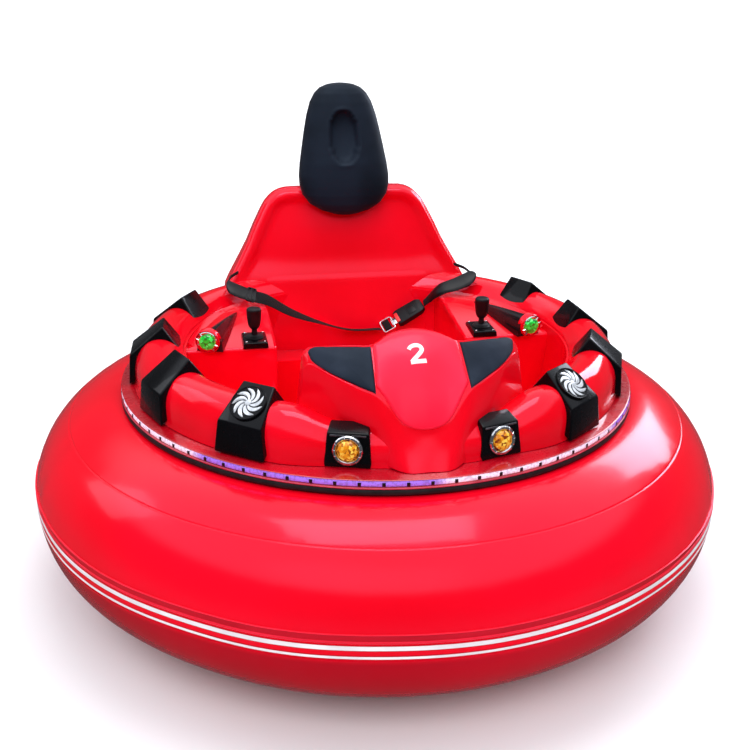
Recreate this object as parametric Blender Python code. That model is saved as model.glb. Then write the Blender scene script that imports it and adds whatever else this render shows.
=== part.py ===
"""Inflatable-ring bumper car with two joysticks. Metres, +Z up, front towards -Y, origin on the ground."""
import bpy
import bmesh
from math import pi, sin, cos, tan, sqrt, radians, hypot
from mathutils import Matrix, Vector

# ---------------------------------------------------------------- driving dimensions
GAP = 0.0004                     # between touching solids
PIN_PLAY = 0.0006                # radial play of a turning fit

TUBE_OUTER_RADIUS = 0.975
TUBE_HALF_WIDTH = 0.269
TUBE_HALF_HEIGHT = 0.249
TUBE_GROUND_GAP = 0.061

RIM_OVERHANG = 0.014             # rim ring beyond the middle of the tube
GASKET_HEIGHT = 0.0165
RAIL_HEIGHT = 0.0265
RAIL_LEDGE_DEPTH = 0.044
RAIL_LEDGE_RISE = 0.004
LED_HEIGHT = 0.015
LED_DEPTH = 0.004

SHELL_THICKNESS = 0.006
COWL_RISE = 0.1225               # crest of the ring cowl above the rail
COWL_WIDTH = 0.135               # skirt to inner foot
COWL_FOOT_DROP = 0.040           # crest down to the inner foot
COWL_FOOT_LIP = 0.028
BLOCK_SHOULDER = 0.6776          # share of the cowl's rise at which a block's face leans in
FRONT_DIP = 0.036                # the cowl sinks here in front, under the nose
FRONT_INSET = 0.018

FLOOR_TOP = 0.220
TUB_TUBE_CLEARANCE = 0.016
SEAT_FRONT_Y = 0.200
SEAT_FRONT_DROP = 0.1197         # tub rim down to the seat pan
SEAT_REAR_Y = 0.470
SEAT_REAR_DROP = 0.1797
SEAT_HALF_WIDTH = 0.280
POD_FRONT_Y = 0.060
POD_FRONT_DROP = 0.0217
POD_REAR_Y = 0.330
POD_REAR_RISE = 0.0023

PAD_SHARE = 0.94                   # a pad's size within its corners
PAD_THICKNESS = 0.006

BACK_BASE_Y = 0.510
BACK_RAKE = radians(17.1)
BACK_HEIGHT = 0.305
BACK_BASE_HALF_WIDTH = 0.400
BACK_TOP_HALF_WIDTH = 0.250
BACK_THICKNESS = 0.060
HEADREST_HEIGHT = 0.404
HEADREST_HALF_WIDTH = 0.148
HEADREST_THICKNESS = 0.060
HEADREST_WIDTHS = ((0.0, 0.55), (0.07, 0.86), (0.18, 0.985), (0.264, 1.0),     # height, width
                   (0.60, 0.86), (0.85, 0.69), (0.94, 0.565), (1.0, 0.34))     # as shares
BRACKET_HALF_WIDTH = 0.060

JOYSTICK_X = 0.341
JOYSTICK_Y = 0.106
JOYSTICK_BASE = (0.073, 0.103, 0.008)
GRIP_RADIUS = 0.0215
GRIP_HEIGHT = 0.080
STICK_PIN_RADIUS = 0.004

FRAME_TUBE = 0.040
FRAME_HALF_WIDTH = 0.170
FRAME_HALF_LENGTH = 0.340
DRIVE_WHEEL_RADIUS = 0.100
DRIVE_WHEEL_WIDTH = 0.050
DRIVE_HUB_RADIUS = 0.062
DRIVE_TRACK = 0.600
AXLE_RADIUS = 0.010
MOTOR_RADIUS = 0.044
CASTER_WHEEL_RADIUS = 0.050
CASTER_WHEEL_WIDTH = 0.032
CASTER_TRAIL = 0.030
CASTER_AXLE_RADIUS = 0.006
CASTER_Y = 0.300
KINGPIN_RADIUS = 0.010
BATTERY_SIZE = (0.320, 0.150, 0.200)

RING_STEPS = 48

# ---------------------------------------------------------------- derived places
TUBE_CENTRE_RADIUS = TUBE_OUTER_RADIUS - TUBE_HALF_WIDTH
TUBE_CENTRE_Z = TUBE_GROUND_GAP + TUBE_HALF_HEIGHT
TUBE_TOP = TUBE_CENTRE_Z + TUBE_HALF_HEIGHT
RIM_RADIUS = TUBE_CENTRE_RADIUS + RIM_OVERHANG
GASKET_TOP = TUBE_TOP + GAP + GASKET_HEIGHT
RAIL_TOP = GASKET_TOP + GAP + RAIL_HEIGHT
COWL_BOTTOM = RAIL_TOP + GAP
COWL_RADIUS = RIM_RADIUS - RAIL_LEDGE_DEPTH + 0.006
COWL_CREST_RADIUS = COWL_RADIUS - 0.072
COWL_CREST = COWL_BOTTOM + COWL_RISE
COWL_FOOT_RADIUS = COWL_RADIUS - COWL_WIDTH
COWL_FOOT = COWL_CREST - COWL_FOOT_DROP
TUB_TOP = COWL_FOOT - 0.006
TUB_TOP_RADIUS = COWL_FOOT_RADIUS - GAP
FLOOR_BOTTOM = FLOOR_TOP - SHELL_THICKNESS
FRAME_TOP = FLOOR_BOTTOM - GAP
FRAME_BOTTOM = FRAME_TOP - FRAME_TUBE
BACK_BASE_Z = TUB_TOP + 0.020
SEAT_FRONT_TOP = TUB_TOP - SEAT_FRONT_DROP
SEAT_REAR_TOP = TUB_TOP - SEAT_REAR_DROP
POD_FRONT_TOP = TUB_TOP - POD_FRONT_DROP
POD_REAR_TOP = TUB_TOP + POD_REAR_RISE
SIDES = (("left", 1), ("right", -1))
ENDS = (("front", -1), ("rear", 1))


# ---------------------------------------------------------------- materials
def material(name, colour, roughness, metallic=0.0):
    found = bpy.data.materials.get(name) or bpy.data.materials.new(name)
    found.use_nodes = True
    shader = found.node_tree.nodes["Principled BSDF"]
    shader.inputs["Base Color"].default_value = (*colour, 1.0)
    shader.inputs["Roughness"].default_value = roughness
    shader.inputs["Metallic"].default_value = metallic
    return found


def red_vinyl():
    return material("red_vinyl", (0.62, 0.008, 0.016), 0.28)


def red_gelcoat():
    return material("red_gelcoat", (0.72, 0.006, 0.014), 0.12)


def black_gloss():
    return material("black_gloss", (0.006, 0.006, 0.008), 0.18)


def black_matte():
    return material("black_matte", (0.014, 0.015, 0.019), 0.62)


def dark_red_pvc():
    return material("dark_red_pvc", (0.30, 0.006, 0.018), 0.25)


def led_violet():
    return material("led_violet", (0.45, 0.36, 0.95), 0.35)


def chrome():
    return material("chrome", (0.82, 0.83, 0.85), 0.10, 1.0)


def amber_glass():
    return material("amber_glass", (0.90, 0.42, 0.03), 0.08)


def green_glass():
    return material("green_glass", (0.01, 0.62, 0.12), 0.08)


def black_webbing():
    return material("black_webbing", (0.010, 0.010, 0.012), 0.80)


def frame_steel():
    return material("frame_steel", (0.030, 0.032, 0.036), 0.42, 0.6)


def tyre_rubber():
    return material("tyre_rubber", (0.018, 0.018, 0.019), 0.78)


def zinc_plate():
    return material("zinc_plate", (0.55, 0.56, 0.58), 0.30, 1.0)


# ---------------------------------------------------------------- modelling helpers
def finish_mesh(name, bm, surface, origin=(0.0, 0.0, 0.0), smooth_angle=None):
    """Turn a bmesh built in world places into a named object whose origin is the given point."""
    bmesh.ops.recalc_face_normals(bm, faces=bm.faces)
    bmesh.ops.translate(bm, verts=bm.verts, vec=-Vector(origin))
    mesh = bpy.data.meshes.new(name)
    bm.to_mesh(mesh)
    bm.free()
    mesh.materials.append(surface)
    if smooth_angle is not None:
        mesh.shade_smooth()
        mesh.set_sharp_from_angle(angle=radians(smooth_angle))
    piece = bpy.data.objects.new(name, mesh)
    piece.location = origin
    bpy.context.collection.objects.link(piece)
    return piece


def as_cutter(piece):
    piece.hide_render = True
    piece.display_type = "WIRE"
    return piece


def combine(piece, other, operation, solver="EXACT"):
    as_cutter(other)
    step = piece.modifiers.new(operation.lower(), "BOOLEAN")
    step.operation = operation
    step.solver = solver
    step.object = other
    return piece


def cut(piece, other, solver="EXACT"):
    return combine(piece, other, "DIFFERENCE", solver)


def join(piece, other, solver="EXACT"):
    return combine(piece, other, "UNION", solver)


def box_mesh(low, high):
    bm = bmesh.new()
    bmesh.ops.create_cube(bm, size=1.0)
    size = Vector(high) - Vector(low)
    middle = (Vector(high) + Vector(low)) / 2
    placing = Matrix.Translation(middle) @ Matrix.Diagonal((*size, 1.0))
    bmesh.ops.transform(bm, matrix=placing, verts=bm.verts)
    return bm


def box(name, low, high, surface, origin=(0, 0, 0), bevel=0.0):
    bm = box_mesh(low, high)
    if bevel:
        bmesh.ops.bevel(bm, geom=bm.edges[:], offset=bevel, segments=1, affect="EDGES")
    return finish_mesh(name, bm, surface, origin)


def hull(name, points, surface, origin=(0, 0, 0)):
    """The convex solid round a set of corner points."""
    bm = bmesh.new()
    for point in points:
        bm.verts.new(point)
    made = bmesh.ops.convex_hull(bm, input=bm.verts)
    spare = [item for item in made["geom_interior"] if isinstance(item, bmesh.types.BMVert)]
    bmesh.ops.delete(bm, geom=spare, context="VERTS")
    return finish_mesh(name, bm, surface, origin)


def turned_z(profile, steps):
    """Spin an open (axis to axis) or closed profile of (radius, z) points about Z into a bmesh."""
    bm = bmesh.new()
    loop = [bm.verts.new((radius, 0.0, z)) for radius, z in profile]
    closed = profile[0][0] > 0.0
    pairs = list(zip(loop, loop[1:])) + ([(loop[-1], loop[0])] if closed else [])
    edges = [bm.edges.new(pair) for pair in pairs]
    bmesh.ops.spin(bm, geom=loop + edges, cent=(0, 0, 0), axis=(0, 0, 1), angle=2 * pi, steps=steps,
                   use_merge=True)
    bmesh.ops.remove_doubles(bm, verts=bm.verts, dist=1e-6)
    return bm


def turned(name, profile, steps, surface, centre=(0, 0, 0), axis=(0, 0, 1), smooth_angle=35):
    """A turned solid: profile is (radius, height along the axis) measured from its centre."""
    bm = turned_z(profile, steps)
    turn = Vector((0, 0, 1)).rotation_difference(Vector(axis)).to_matrix().to_4x4()
    bmesh.ops.transform(bm, matrix=Matrix.Translation(centre) @ turn, verts=bm.verts)
    return finish_mesh(name, bm, surface, centre, smooth_angle)


def disc(name, radius, low, high, steps, surface, centre, axis):
    """A plain round slug between two heights on its axis."""
    return turned(name, [(0, low), (radius, low), (radius, high), (0, high)], steps, surface, centre, axis)


def ring_solid(name, profile_at, steps, surface, smooth_angle=35):
    """A ring whose closed (radius, z) profile may change with the angle from the front."""
    bm = bmesh.new()
    loops = []
    for step in range(steps):
        angle = 2 * pi * step / steps
        loops.append([bm.verts.new(at_angle(radius, angle, z)) for radius, z in profile_at(angle)])
    count = len(loops[0])
    for step in range(steps):
        here, there = loops[step], loops[(step + 1) % steps]
        for i in range(count):
            j = (i + 1) % count
            bm.faces.new((here[i], here[j], there[j]))
            bm.faces.new((here[i], there[j], there[i]))
    return finish_mesh(name, bm, surface, (0, 0, 0), smooth_angle)


def extrude_x(name, outline, low, high, surface):
    """A (y, z) outline carried from x = low to x = high."""
    bm = bmesh.new()
    face = bm.faces.new([bm.verts.new((low, y, z)) for y, z in outline])
    made = bmesh.ops.extrude_face_region(bm, geom=[face])
    moved = [item for item in made["geom"] if isinstance(item, bmesh.types.BMVert)]
    bmesh.ops.translate(bm, verts=moved, vec=(high - low, 0, 0))
    return finish_mesh(name, bm, surface)


def ribbon(name, points, tilts, width, thickness, surface):
    """A flat strap along its centre points; each tilt leans its width from upright towards the rear."""
    bm = bmesh.new()
    loops = []
    for i, (point, tilt) in enumerate(zip(points, tilts)):
        across = Vector((0, sin(tilt), cos(tilt))) * width / 2
        run = (Vector(points[min(i + 1, len(points) - 1)]) - Vector(points[max(i - 1, 0)])).normalized()
        proud = run.cross(across).normalized() * thickness / 2
        corners = [across + proud, across - proud, -across - proud, -across + proud]
        loops.append([bm.verts.new(Vector(point) + corner) for corner in corners])
    for here, there in zip(loops, loops[1:]):
        for i in range(4):
            j = (i + 1) % 4
            bm.faces.new((here[i], here[j], there[j], there[i]))
    bm.faces.new(loops[0])
    bm.faces.new(loops[-1][::-1])
    return finish_mesh(name, bm, surface)


def at_angle(radius, angle, z):
    """A point at an angle measured from the front (-Y), positive towards +X."""
    return Vector((radius * sin(angle), -radius * cos(angle), z))


def smooth_step(low, high, value):
    t = min(1.0, max(0.0, (value - low) / (high - low)))
    return t * t * (3 - 2 * t)


# ---------------------------------------------------------------- bumper tube and rim
def tube_inner_radius(z):
    """Radius of the tube's inner wall at a height."""
    up = (z - TUBE_CENTRE_Z) / TUBE_HALF_HEIGHT
    return TUBE_CENTRE_RADIUS - TUBE_HALF_WIDTH * sqrt(max(0.0, 1 - up * up))


def make_tube():
    around = 16
    section = [2 * pi * i / around for i in range(around)]
    profile = [(TUBE_CENTRE_RADIUS + TUBE_HALF_WIDTH * cos(a), TUBE_CENTRE_Z + TUBE_HALF_HEIGHT * sin(a))
               for a in section]
    ring_solid("inflatable_tube", lambda angle: profile, RING_STEPS, red_vinyl(), 60)


def make_rim():
    inner = RIM_RADIUS - RAIL_LEDGE_DEPTH
    tube_top = TUBE_TOP + GAP
    gasket = [(inner, tube_top), (RIM_RADIUS, tube_top), (RIM_RADIUS, GASKET_TOP), (inner, GASKET_TOP)]
    ring_solid("tube_gasket", lambda angle: gasket, RING_STEPS, black_matte())

    face = RIM_RADIUS + 0.002
    low = GASKET_TOP + GAP
    led_low = low + 0.006
    led_high = led_low + LED_HEIGHT
    shoulder = RAIL_TOP - RAIL_LEDGE_RISE
    channel = face - LED_DEPTH - GAP
    rail = [(inner, low), (face, low), (face, led_low - GAP), (channel, led_low - GAP),
            (channel, led_high + GAP), (face, led_high + GAP), (face, shoulder), (inner, RAIL_TOP)]
    ring_solid("light_rail", lambda angle: rail, RING_STEPS, dark_red_pvc())
    strip = [(channel + GAP, led_low), (face, led_low), (face, led_high), (channel + GAP, led_high)]
    ring_solid("led_strip", lambda angle: strip, RING_STEPS, led_violet())


# ---------------------------------------------------------------- ring cowl
def front_dip(angle):
    """1 across the nose, 0 from the fan lamps round the back."""
    from_front = abs((angle + pi) % (2 * pi) - pi)
    return 1 - smooth_step(radians(18), radians(31), from_front)


def cowl_outline(angle):
    """The cowl's outside from the skirt over the crest to the inner foot."""
    dip = front_dip(angle)
    points = []
    for inset, rise in ((0.0, 0.0), (0.015, 0.45), (0.10, 0.71), (0.28, 0.93), (0.52, 1.0), (0.75, 0.93),
                        (0.92, 0.77)):
        radius = COWL_RADIUS - inset * COWL_WIDTH - dip * FRONT_INSET * (1 - inset)
        points.append((radius, COWL_BOTTOM + rise * (COWL_RISE - dip * FRONT_DIP)))
    foot = COWL_FOOT - dip * 0.012
    points.append((COWL_FOOT_RADIUS, foot))
    points.append((COWL_FOOT_RADIUS, COWL_FOOT - COWL_FOOT_LIP))
    return points


def offset_outline(points, distance):
    """Move an open outline sideways, away from its inside (the side towards the ground and the axis)."""
    moved = []
    for i, (radius, z) in enumerate(points):
        before = points[max(i - 1, 0)]
        after = points[min(i + 1, len(points) - 1)]
        run = (after[0] - before[0], after[1] - before[1])
        length = hypot(*run)
        moved.append((radius + run[1] / length * distance, z - run[0] / length * distance))
    return moved


def cowl_profile(angle):
    outside = cowl_outline(angle)
    inside = offset_outline(outside, -SHELL_THICKNESS)
    inside[0] = (outside[0][0] - SHELL_THICKNESS, outside[0][1])
    inside[-1] = (outside[-1][0] + SHELL_THICKNESS, outside[-1][1])
    return outside + inside[::-1]


def cowl_keep_out():
    """The space that the cowl and what lies under it fill, with a gap, for cutting what stands on it."""
    def profile(angle):
        outside = offset_outline(cowl_outline(angle), GAP)
        outside[-1] = (COWL_FOOT_RADIUS - GAP, TUB_TOP + GAP)
        wall = TUB_TOP_RADIUS - SHELL_THICKNESS - GAP
        below = [(wall, TUB_TOP + GAP), (wall - 0.005, TUB_TOP - 0.10)]
        return [(outside[0][0], COWL_BOTTOM - 0.10)] + outside + below
    return as_cutter(ring_solid("cowl_keep_out", profile, RING_STEPS, black_matte()))


def make_cowl():
    ring_solid("ring_cowl", cowl_profile, RING_STEPS, red_gelcoat())


# ---------------------------------------------------------------- cockpit
def tub_radius(z):
    return min(TUB_TOP_RADIUS, tube_inner_radius(min(z, TUBE_TOP - 0.02)) - TUB_TUBE_CLEARANCE)


def bowl_wall(inset, low):
    """Points up the tub's outer wall, set in by a wall thickness, from a low height to the rim."""
    points = [(tub_radius(TUBE_CENTRE_Z) - inset, low)]
    for z in (0.36, 0.42, 0.47, 0.505, 0.53):
        points.append((min(tub_radius(z), TUB_TOP_RADIUS - 0.012) - inset, z))
    points.append((TUB_TOP_RADIUS - 0.002 - inset, TUB_TOP - 0.04))
    return points


def bowl_profile(inset, low, high):
    """The bowl's space as an axis-to-axis profile."""
    return [(0, low)] + bowl_wall(inset, low) + [(TUB_TOP_RADIUS - inset, high), (0, high)]


def bench_outline(inset, low):
    """Side outline of the seat pan and lower back rest, set in by a wall."""
    back_top = (BACK_BASE_Y + tan(BACK_RAKE) * (POD_REAR_TOP - BACK_BASE_Z) + inset, POD_REAR_TOP - inset)
    return [(SEAT_FRONT_Y + inset, low), (SEAT_FRONT_Y + inset, SEAT_FRONT_TOP - inset),
            (SEAT_REAR_Y + inset * 0.5, SEAT_REAR_TOP - inset), back_top, (0.7, back_top[1]), (0.7, low)]


def pod_outline(inset, low):
    slope = (POD_REAR_TOP - POD_FRONT_TOP) / (POD_REAR_Y - POD_FRONT_Y)
    return [(POD_FRONT_Y + inset, low), (POD_FRONT_Y + inset, POD_FRONT_TOP - inset + slope * inset),
            (POD_REAR_Y, POD_REAR_TOP - inset), (0.68, POD_REAR_TOP - inset), (0.68, low)]


def furniture(label, inset, low):
    """Seat bench and both pods as one block, to leave standing in the tub or to hollow from below."""
    inner = SEAT_HALF_WIDTH + inset
    reach = inner + 0.01
    bench = extrude_x(label + "_bench", bench_outline(inset, low), -reach, reach, red_gelcoat())
    for side, sign in SIDES:
        pod = extrude_x(label + "_pod_" + side, pod_outline(inset, low - 0.01), sign * inner, sign * 0.7,
                        red_gelcoat())
        join(bench, pod)
    return as_cutter(bench)


def make_tub():
    t = SHELL_THICKNESS
    wall = bowl_wall(0.0, FLOOR_BOTTOM) + [(TUB_TOP_RADIUS, TUB_TOP), (TUB_TOP_RADIUS - t, TUB_TOP)]
    shell = [(0, FLOOR_BOTTOM)] + wall + bowl_wall(t, FLOOR_TOP)[::-1] + [(0, FLOOR_TOP)]
    tub = finish_mesh("cockpit_tub", turned_z(shell, RING_STEPS), red_gelcoat(), (0, 0, 0), 35)
    within = turned_z(bowl_profile(t / 2, FLOOR_BOTTOM + t / 2, TUB_TOP + 0.05), RING_STEPS)
    block = furniture("seat_block", 0.0, FLOOR_BOTTOM - 0.05)
    join(tub, combine(finish_mesh("tub_within", within, red_gelcoat()), block, "INTERSECT"), "MANIFOLD")
    under = turned_z(bowl_profile(t, FLOOR_BOTTOM - 0.03, TUB_TOP + 0.06), RING_STEPS)
    hollow = furniture("seat_hollow", t, FLOOR_BOTTOM - 0.02)
    cut(tub, combine(finish_mesh("tub_under", under, red_gelcoat()), hollow, "INTERSECT"), "MANIFOLD")


# ---------------------------------------------------------------- nose console
def console_corners(sign):
    """The corners of one pad, on the sloping front of a wing."""
    top = COWL_CREST
    return {"tip": Vector((sign * 0.256, -0.471, top + 0.110)),
            "high": Vector((sign * 0.104, -0.513, top + 0.119)),
            "low": Vector((sign * 0.111, -0.610, top + 0.042))}


def make_console(keep_out):
    """The dome, the nose in front of it and both wings are convex solids joined into one."""
    top = COWL_CREST
    foot = COWL_FOOT - 0.02
    dome = [(0, -0.474, top + 0.147), (0, -0.452, top + 0.141), (0, -0.452, foot), (0, -0.648, top - 0.030)]
    nose = [(0, -0.690, COWL_BOTTOM + GAP), (0, -0.648, top - 0.020), (0, -0.500, top + 0.04)]
    for side, sign in SIDES:
        corners = console_corners(sign)
        dome += [corners["high"], corners["low"], (sign * 0.104, -0.488, top + 0.112)]
        dome += [(sign * 0.104, -0.488, foot), (sign * 0.110, -0.596, foot)]
        nose += [(sign * 0.085, -0.678, COWL_BOTTOM + GAP), (sign * 0.105, -0.606, top + 0.020)]
        nose += [(sign * 0.110, -0.640, COWL_BOTTOM + 0.05), (sign * 0.110, -0.560, COWL_BOTTOM + GAP)]
        nose += [(sign * 0.100, -0.500, top + 0.04)]
    console = hull("nose_console", dome, red_gelcoat())
    join(console, hull("nose_front", nose, red_gelcoat()))
    for side, sign in SIDES:
        corners = console_corners(sign)
        wing = [corners["tip"], corners["high"], corners["low"]]
        wing += [(sign * 0.098, -0.520, top + 0.112), (sign * 0.098, -0.600, top + 0.040)]
        wing += [(sign * 0.098, -0.600, foot), (sign * 0.110, -0.596, foot)]
        wing += [(sign * 0.098, -0.486, top + 0.110), (sign * 0.098, -0.486, foot)]
        wing += [(sign * 0.262, -0.447, top + 0.104), (sign * 0.276, -0.440, foot)]
        wing += [(sign * 0.276, -0.472, foot)]
        join(console, hull("console_wing_" + side, wing, red_gelcoat()))
    cut(console, keep_out)

    for side, sign in SIDES:
        corners = console_corners(sign)
        ring = [corners["tip"], corners["high"], corners["low"]]
        normal = (ring[1] - ring[0]).cross(ring[2] - ring[0]).normalized()
        if normal.y > 0:
            normal = -normal
        middle = (ring[0] + ring[1] + ring[2]) / 3
        inset = [middle + (corner - middle) * PAD_SHARE for corner in ring]
        plate = [corner + normal * lift for corner in inset for lift in (GAP, PAD_THICKNESS)]
        hull("console_pad_" + side, plate, black_matte())


# ---------------------------------------------------------------- saddle blocks and lamps
def block_corners(profile, half_widths, angle):
    points = []
    for (radius, z), half in zip(profile, half_widths):
        for sign in (-1, 1):
            middle = at_angle(radius, angle, z)
            points.append(middle + at_angle(half, angle + sign * pi / 2, 0.0))
    return points


def saddle_profile():
    return [(COWL_RADIUS + 0.014, COWL_BOTTOM + GAP),
            (COWL_RADIUS + 0.009, COWL_BOTTOM + BLOCK_SHOULDER * COWL_RISE),
            (COWL_CREST_RADIUS - 0.010, COWL_CREST + 0.034),
            (COWL_FOOT_RADIUS + 0.004, COWL_FOOT + 0.004)]


def amber_profile():
    radius = COWL_RADIUS - FRONT_INSET
    return [(radius + 0.006, COWL_BOTTOM + GAP), (radius - 0.006, COWL_BOTTOM + BLOCK_SHOULDER * COWL_RISE),
            (radius - 0.052, COWL_BOTTOM + 0.097), (radius - 0.075, COWL_BOTTOM + 0.060)]


def make_block(name, angle, profile, half_widths, keep_out):
    block = hull(name, block_corners(profile, half_widths, angle), black_gloss())
    cut(block, keep_out)


def face_frame(profile, low, high, angle, share):
    """A point part of the way up a block's face and the face's outward direction."""
    (r0, z0), (r1, z1) = profile[low], profile[high]
    radius, z = r0 + (r1 - r0) * share, z0 + (z1 - z0) * share
    length = hypot(r1 - r0, z1 - z0)
    return at_angle(radius, angle, z), at_angle((z1 - z0) / length, angle, -(r1 - r0) / length)


def make_blocks(keep_out):
    saddle = saddle_profile()
    widths = (0.072, 0.062, 0.045, 0.056)
    places = (("fan_block", 38.5), ("side_block_front", 67.0), ("side_block_middle", 93.0),
              ("side_block_rear", 119.5))
    for side, sign in SIDES:
        for label, degrees in places:
            make_block(label + "_" + side, sign * radians(degrees), saddle, widths, keep_out)
        centre, outward = face_frame(saddle, 1, 2, sign * radians(38.5), 0.5)
        disc("turbine_lamp_" + side, 0.047, GAP, 0.007, 20, black_gloss(), centre, outward)

        angle = sign * radians(16.2)
        amber = amber_profile()
        make_block("lamp_block_" + side, angle, amber, (0.057, 0.050, 0.047, 0.047), keep_out)
        centre, outward = face_frame(amber, 0, 1, angle, 0.52)
        lamp = [(0, GAP), (0.040, GAP), (0.040, 0.006), (0.034, 0.011), (0.027, 0.011), (0.016, 0.017),
                (0, 0.019)]
        turned("amber_lamp_" + side, lamp, 16, amber_glass(), centre, outward)


def make_side_lamps():
    """Green lamp and its tapering housing on each pod."""
    for side, sign in SIDES:
        deck = POD_FRONT_TOP + GAP
        front = Vector((sign * 0.472, 0.052, deck))
        tip = Vector((sign * 0.378, 0.322, POD_REAR_TOP + 0.003))
        run = (tip - front).normalized()
        across = run.cross(Vector((0, 0, 1))).normalized()
        points = [tip, tip + across * 0.004 + Vector((0, 0, 0.004)), tip - across * 0.004]
        for i in range(7):
            turn = pi * i / 6
            points.append(front + across * cos(turn) * 0.037 + Vector((0, 0, sin(turn) * 0.060)))
        pods = hull("lamp_pod_" + side, points, black_gloss())
        rim = cowl_side_guard(side, sign)
        cut(pods, rim)
        centre = front + Vector((sign * 0.006, -0.0003, 0.030)) - run * 0.0006
        lamp = [(0, GAP), (0.031, GAP), (0.031, 0.006), (0.026, 0.010), (0.020, 0.010), (0.011, 0.014),
                (0, 0.016)]
        turned("green_lamp_" + side, lamp, 16, green_glass(), centre, -run)


def cowl_side_guard(side, sign):
    """What a lamp housing may not enter: the pod deck under it, with the cowl beyond it."""
    outline = pod_outline(-GAP, POD_FRONT_TOP - 0.08)
    return as_cutter(extrude_x("deck_guard_" + side, outline, sign * 0.20, sign * 0.60, black_matte()))


# ---------------------------------------------------------------- seat
def back_front_y(z):
    return BACK_BASE_Y + tan(BACK_RAKE) * (z - BACK_BASE_Z)


def make_seat_back(keep_out):
    top = BACK_BASE_Z + BACK_HEIGHT
    outline = [(BACK_BASE_HALF_WIDTH, BACK_BASE_Z - 0.06), (BACK_BASE_HALF_WIDTH, BACK_BASE_Z),
               (0.367, BACK_BASE_Z + 0.062), (0.324, BACK_BASE_Z + 0.138),
               (BACK_TOP_HALF_WIDTH, top - 0.032), (BACK_TOP_HALF_WIDTH - 0.035, top - 0.006),
               (0.0, top)]
    points = []
    for x, z in outline:
        front = back_front_y(z)
        depth = BACK_THICKNESS + 0.05 * (top - z) / BACK_HEIGHT
        for sign in (-1, 1):
            points += [(sign * x, front, z), (sign * x, front + depth, z)]
    back = hull("seat_back", points, red_gelcoat())
    cut(back, keep_out)
    floor = box("back_seat_cut", (-0.6, 0.2, TUB_TOP - 0.3), (0.6, 0.9, POD_REAR_TOP + GAP), black_matte())
    cut(back, floor)


def make_headrest():
    low = BACK_BASE_Z + BACK_HEIGHT - 0.082
    points = []
    for share, width in HEADREST_WIDTHS:
        z = low + share * HEADREST_HEIGHT
        rear = back_front_y(z) - 0.0006
        thick = HEADREST_THICKNESS * (1 - 0.35 * abs(share - 0.4))
        for sign in (-1, 1):
            half = HEADREST_HALF_WIDTH * width
            points += [(sign * half, rear, z), (sign * half * 0.92, rear - thick, z)]
    hull("headrest", points, black_matte())
    top = BACK_BASE_Z + BACK_HEIGHT
    plate = []
    for z in (top - 0.006, top + 0.20):
        for sign in (-1, 1):
            plate += [(sign * BRACKET_HALF_WIDTH, back_front_y(z) + GAP, z)]
            plate += [(sign * BRACKET_HALF_WIDTH, back_front_y(z) + 0.006, z)]
    bracket = hull("headrest_bracket", plate, frame_steel())
    rear = back_front_y(top) + BACK_THICKNESS
    foot = box("bracket_foot", (-BRACKET_HALF_WIDTH, back_front_y(top) + 0.002, top + GAP),
               (BRACKET_HALF_WIDTH, rear - 0.01, top + 0.006), frame_steel())
    join(bracket, foot)
    trim = box("bracket_trim", (-0.2, back_front_y(top) - 0.1, top - 0.1),
               (0.2, rear + 0.1, top + GAP), frame_steel())
    cut(bracket, trim)


# ---------------------------------------------------------------- belt
BELT_WIDTH = 0.048
BELT_THICKNESS = 0.003
BELT_LEAN = radians(55)            # the webbing's width from upright, where it hangs free
BOLT_X, BOLT_RISE = 0.362, 0.072
RIGHT_BELT = [(-0.360, 0.5205, 0.0735), (-0.388, 0.478, 0.068), (-0.395, 0.410, 0.057),
              (-0.355, 0.392, 0.044), (-0.315, 0.388, 0.030), (-0.276, 0.388, 0.017),
              (-0.200, 0.408, -0.034), (-0.107, 0.428, -0.078), (-0.005, 0.440, -0.112),
              (0.098, 0.444, -0.116)]   # x, y and height from the tub rim
LEFT_BELT = [(0.2415, 0.443, -0.0345), (0.284, 0.397, 0.0245), (0.340, 0.394, 0.042),
             (0.395, 0.410, 0.057), (0.388, 0.478, 0.068), (0.360, 0.5205, 0.0735)]


def make_belt():
    rise = TUB_TOP
    outward = Vector((0, -cos(BACK_RAKE), sin(BACK_RAKE)))
    for name, path, sign in (("lap_belt_right", RIGHT_BELT, -1), ("lap_belt_left", LEFT_BELT, 1)):
        tilts = []
        for x, y, z in path:
            near_back = max(0.0, min(1.0, (y - 0.42) / 0.09))
            tilts.append(BELT_LEAN + (BACK_RAKE - BELT_LEAN) * near_back)
        strap = ribbon(name, [(x, y, rise + z) for x, y, z in path], tilts, BELT_WIDTH, BELT_THICKNESS,
                       black_webbing())
        bolt_z = rise + BOLT_RISE
        bolt = disc("belt_bolt_" + name, 0.012, GAP, 0.010, 16, zinc_plate(),
                    Vector((sign * BOLT_X, back_front_y(bolt_z), bolt_z)), outward)
        join(strap, bolt)
    across = Vector((0, sin(BELT_LEAN), cos(BELT_LEAN)))
    start = Vector((0.0990, 0.444, rise - 0.1157))
    finish = Vector((0.1490, 0.444, rise - 0.0890))
    end = Vector((0.2385, 0.444, rise - 0.0367))
    bar = (end - finish).normalized()
    for name, a, b, half, thick, surface in (
            ("belt_tongue", start, finish, 0.029, 0.004, chrome()),
            ("belt_buckle", finish + bar * 0.0006, end, 0.031, 0.022, black_gloss())):
        proud = (b - a).normalized().cross(across).normalized()
        points = []
        for spot in (a, b):
            for u, v in ((-1, -1), (-1, 1), (1, -1), (1, 1)):
                points.append(spot + across * half * u + proud * thick * v / 2)
        hull(name, points, surface)


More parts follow.
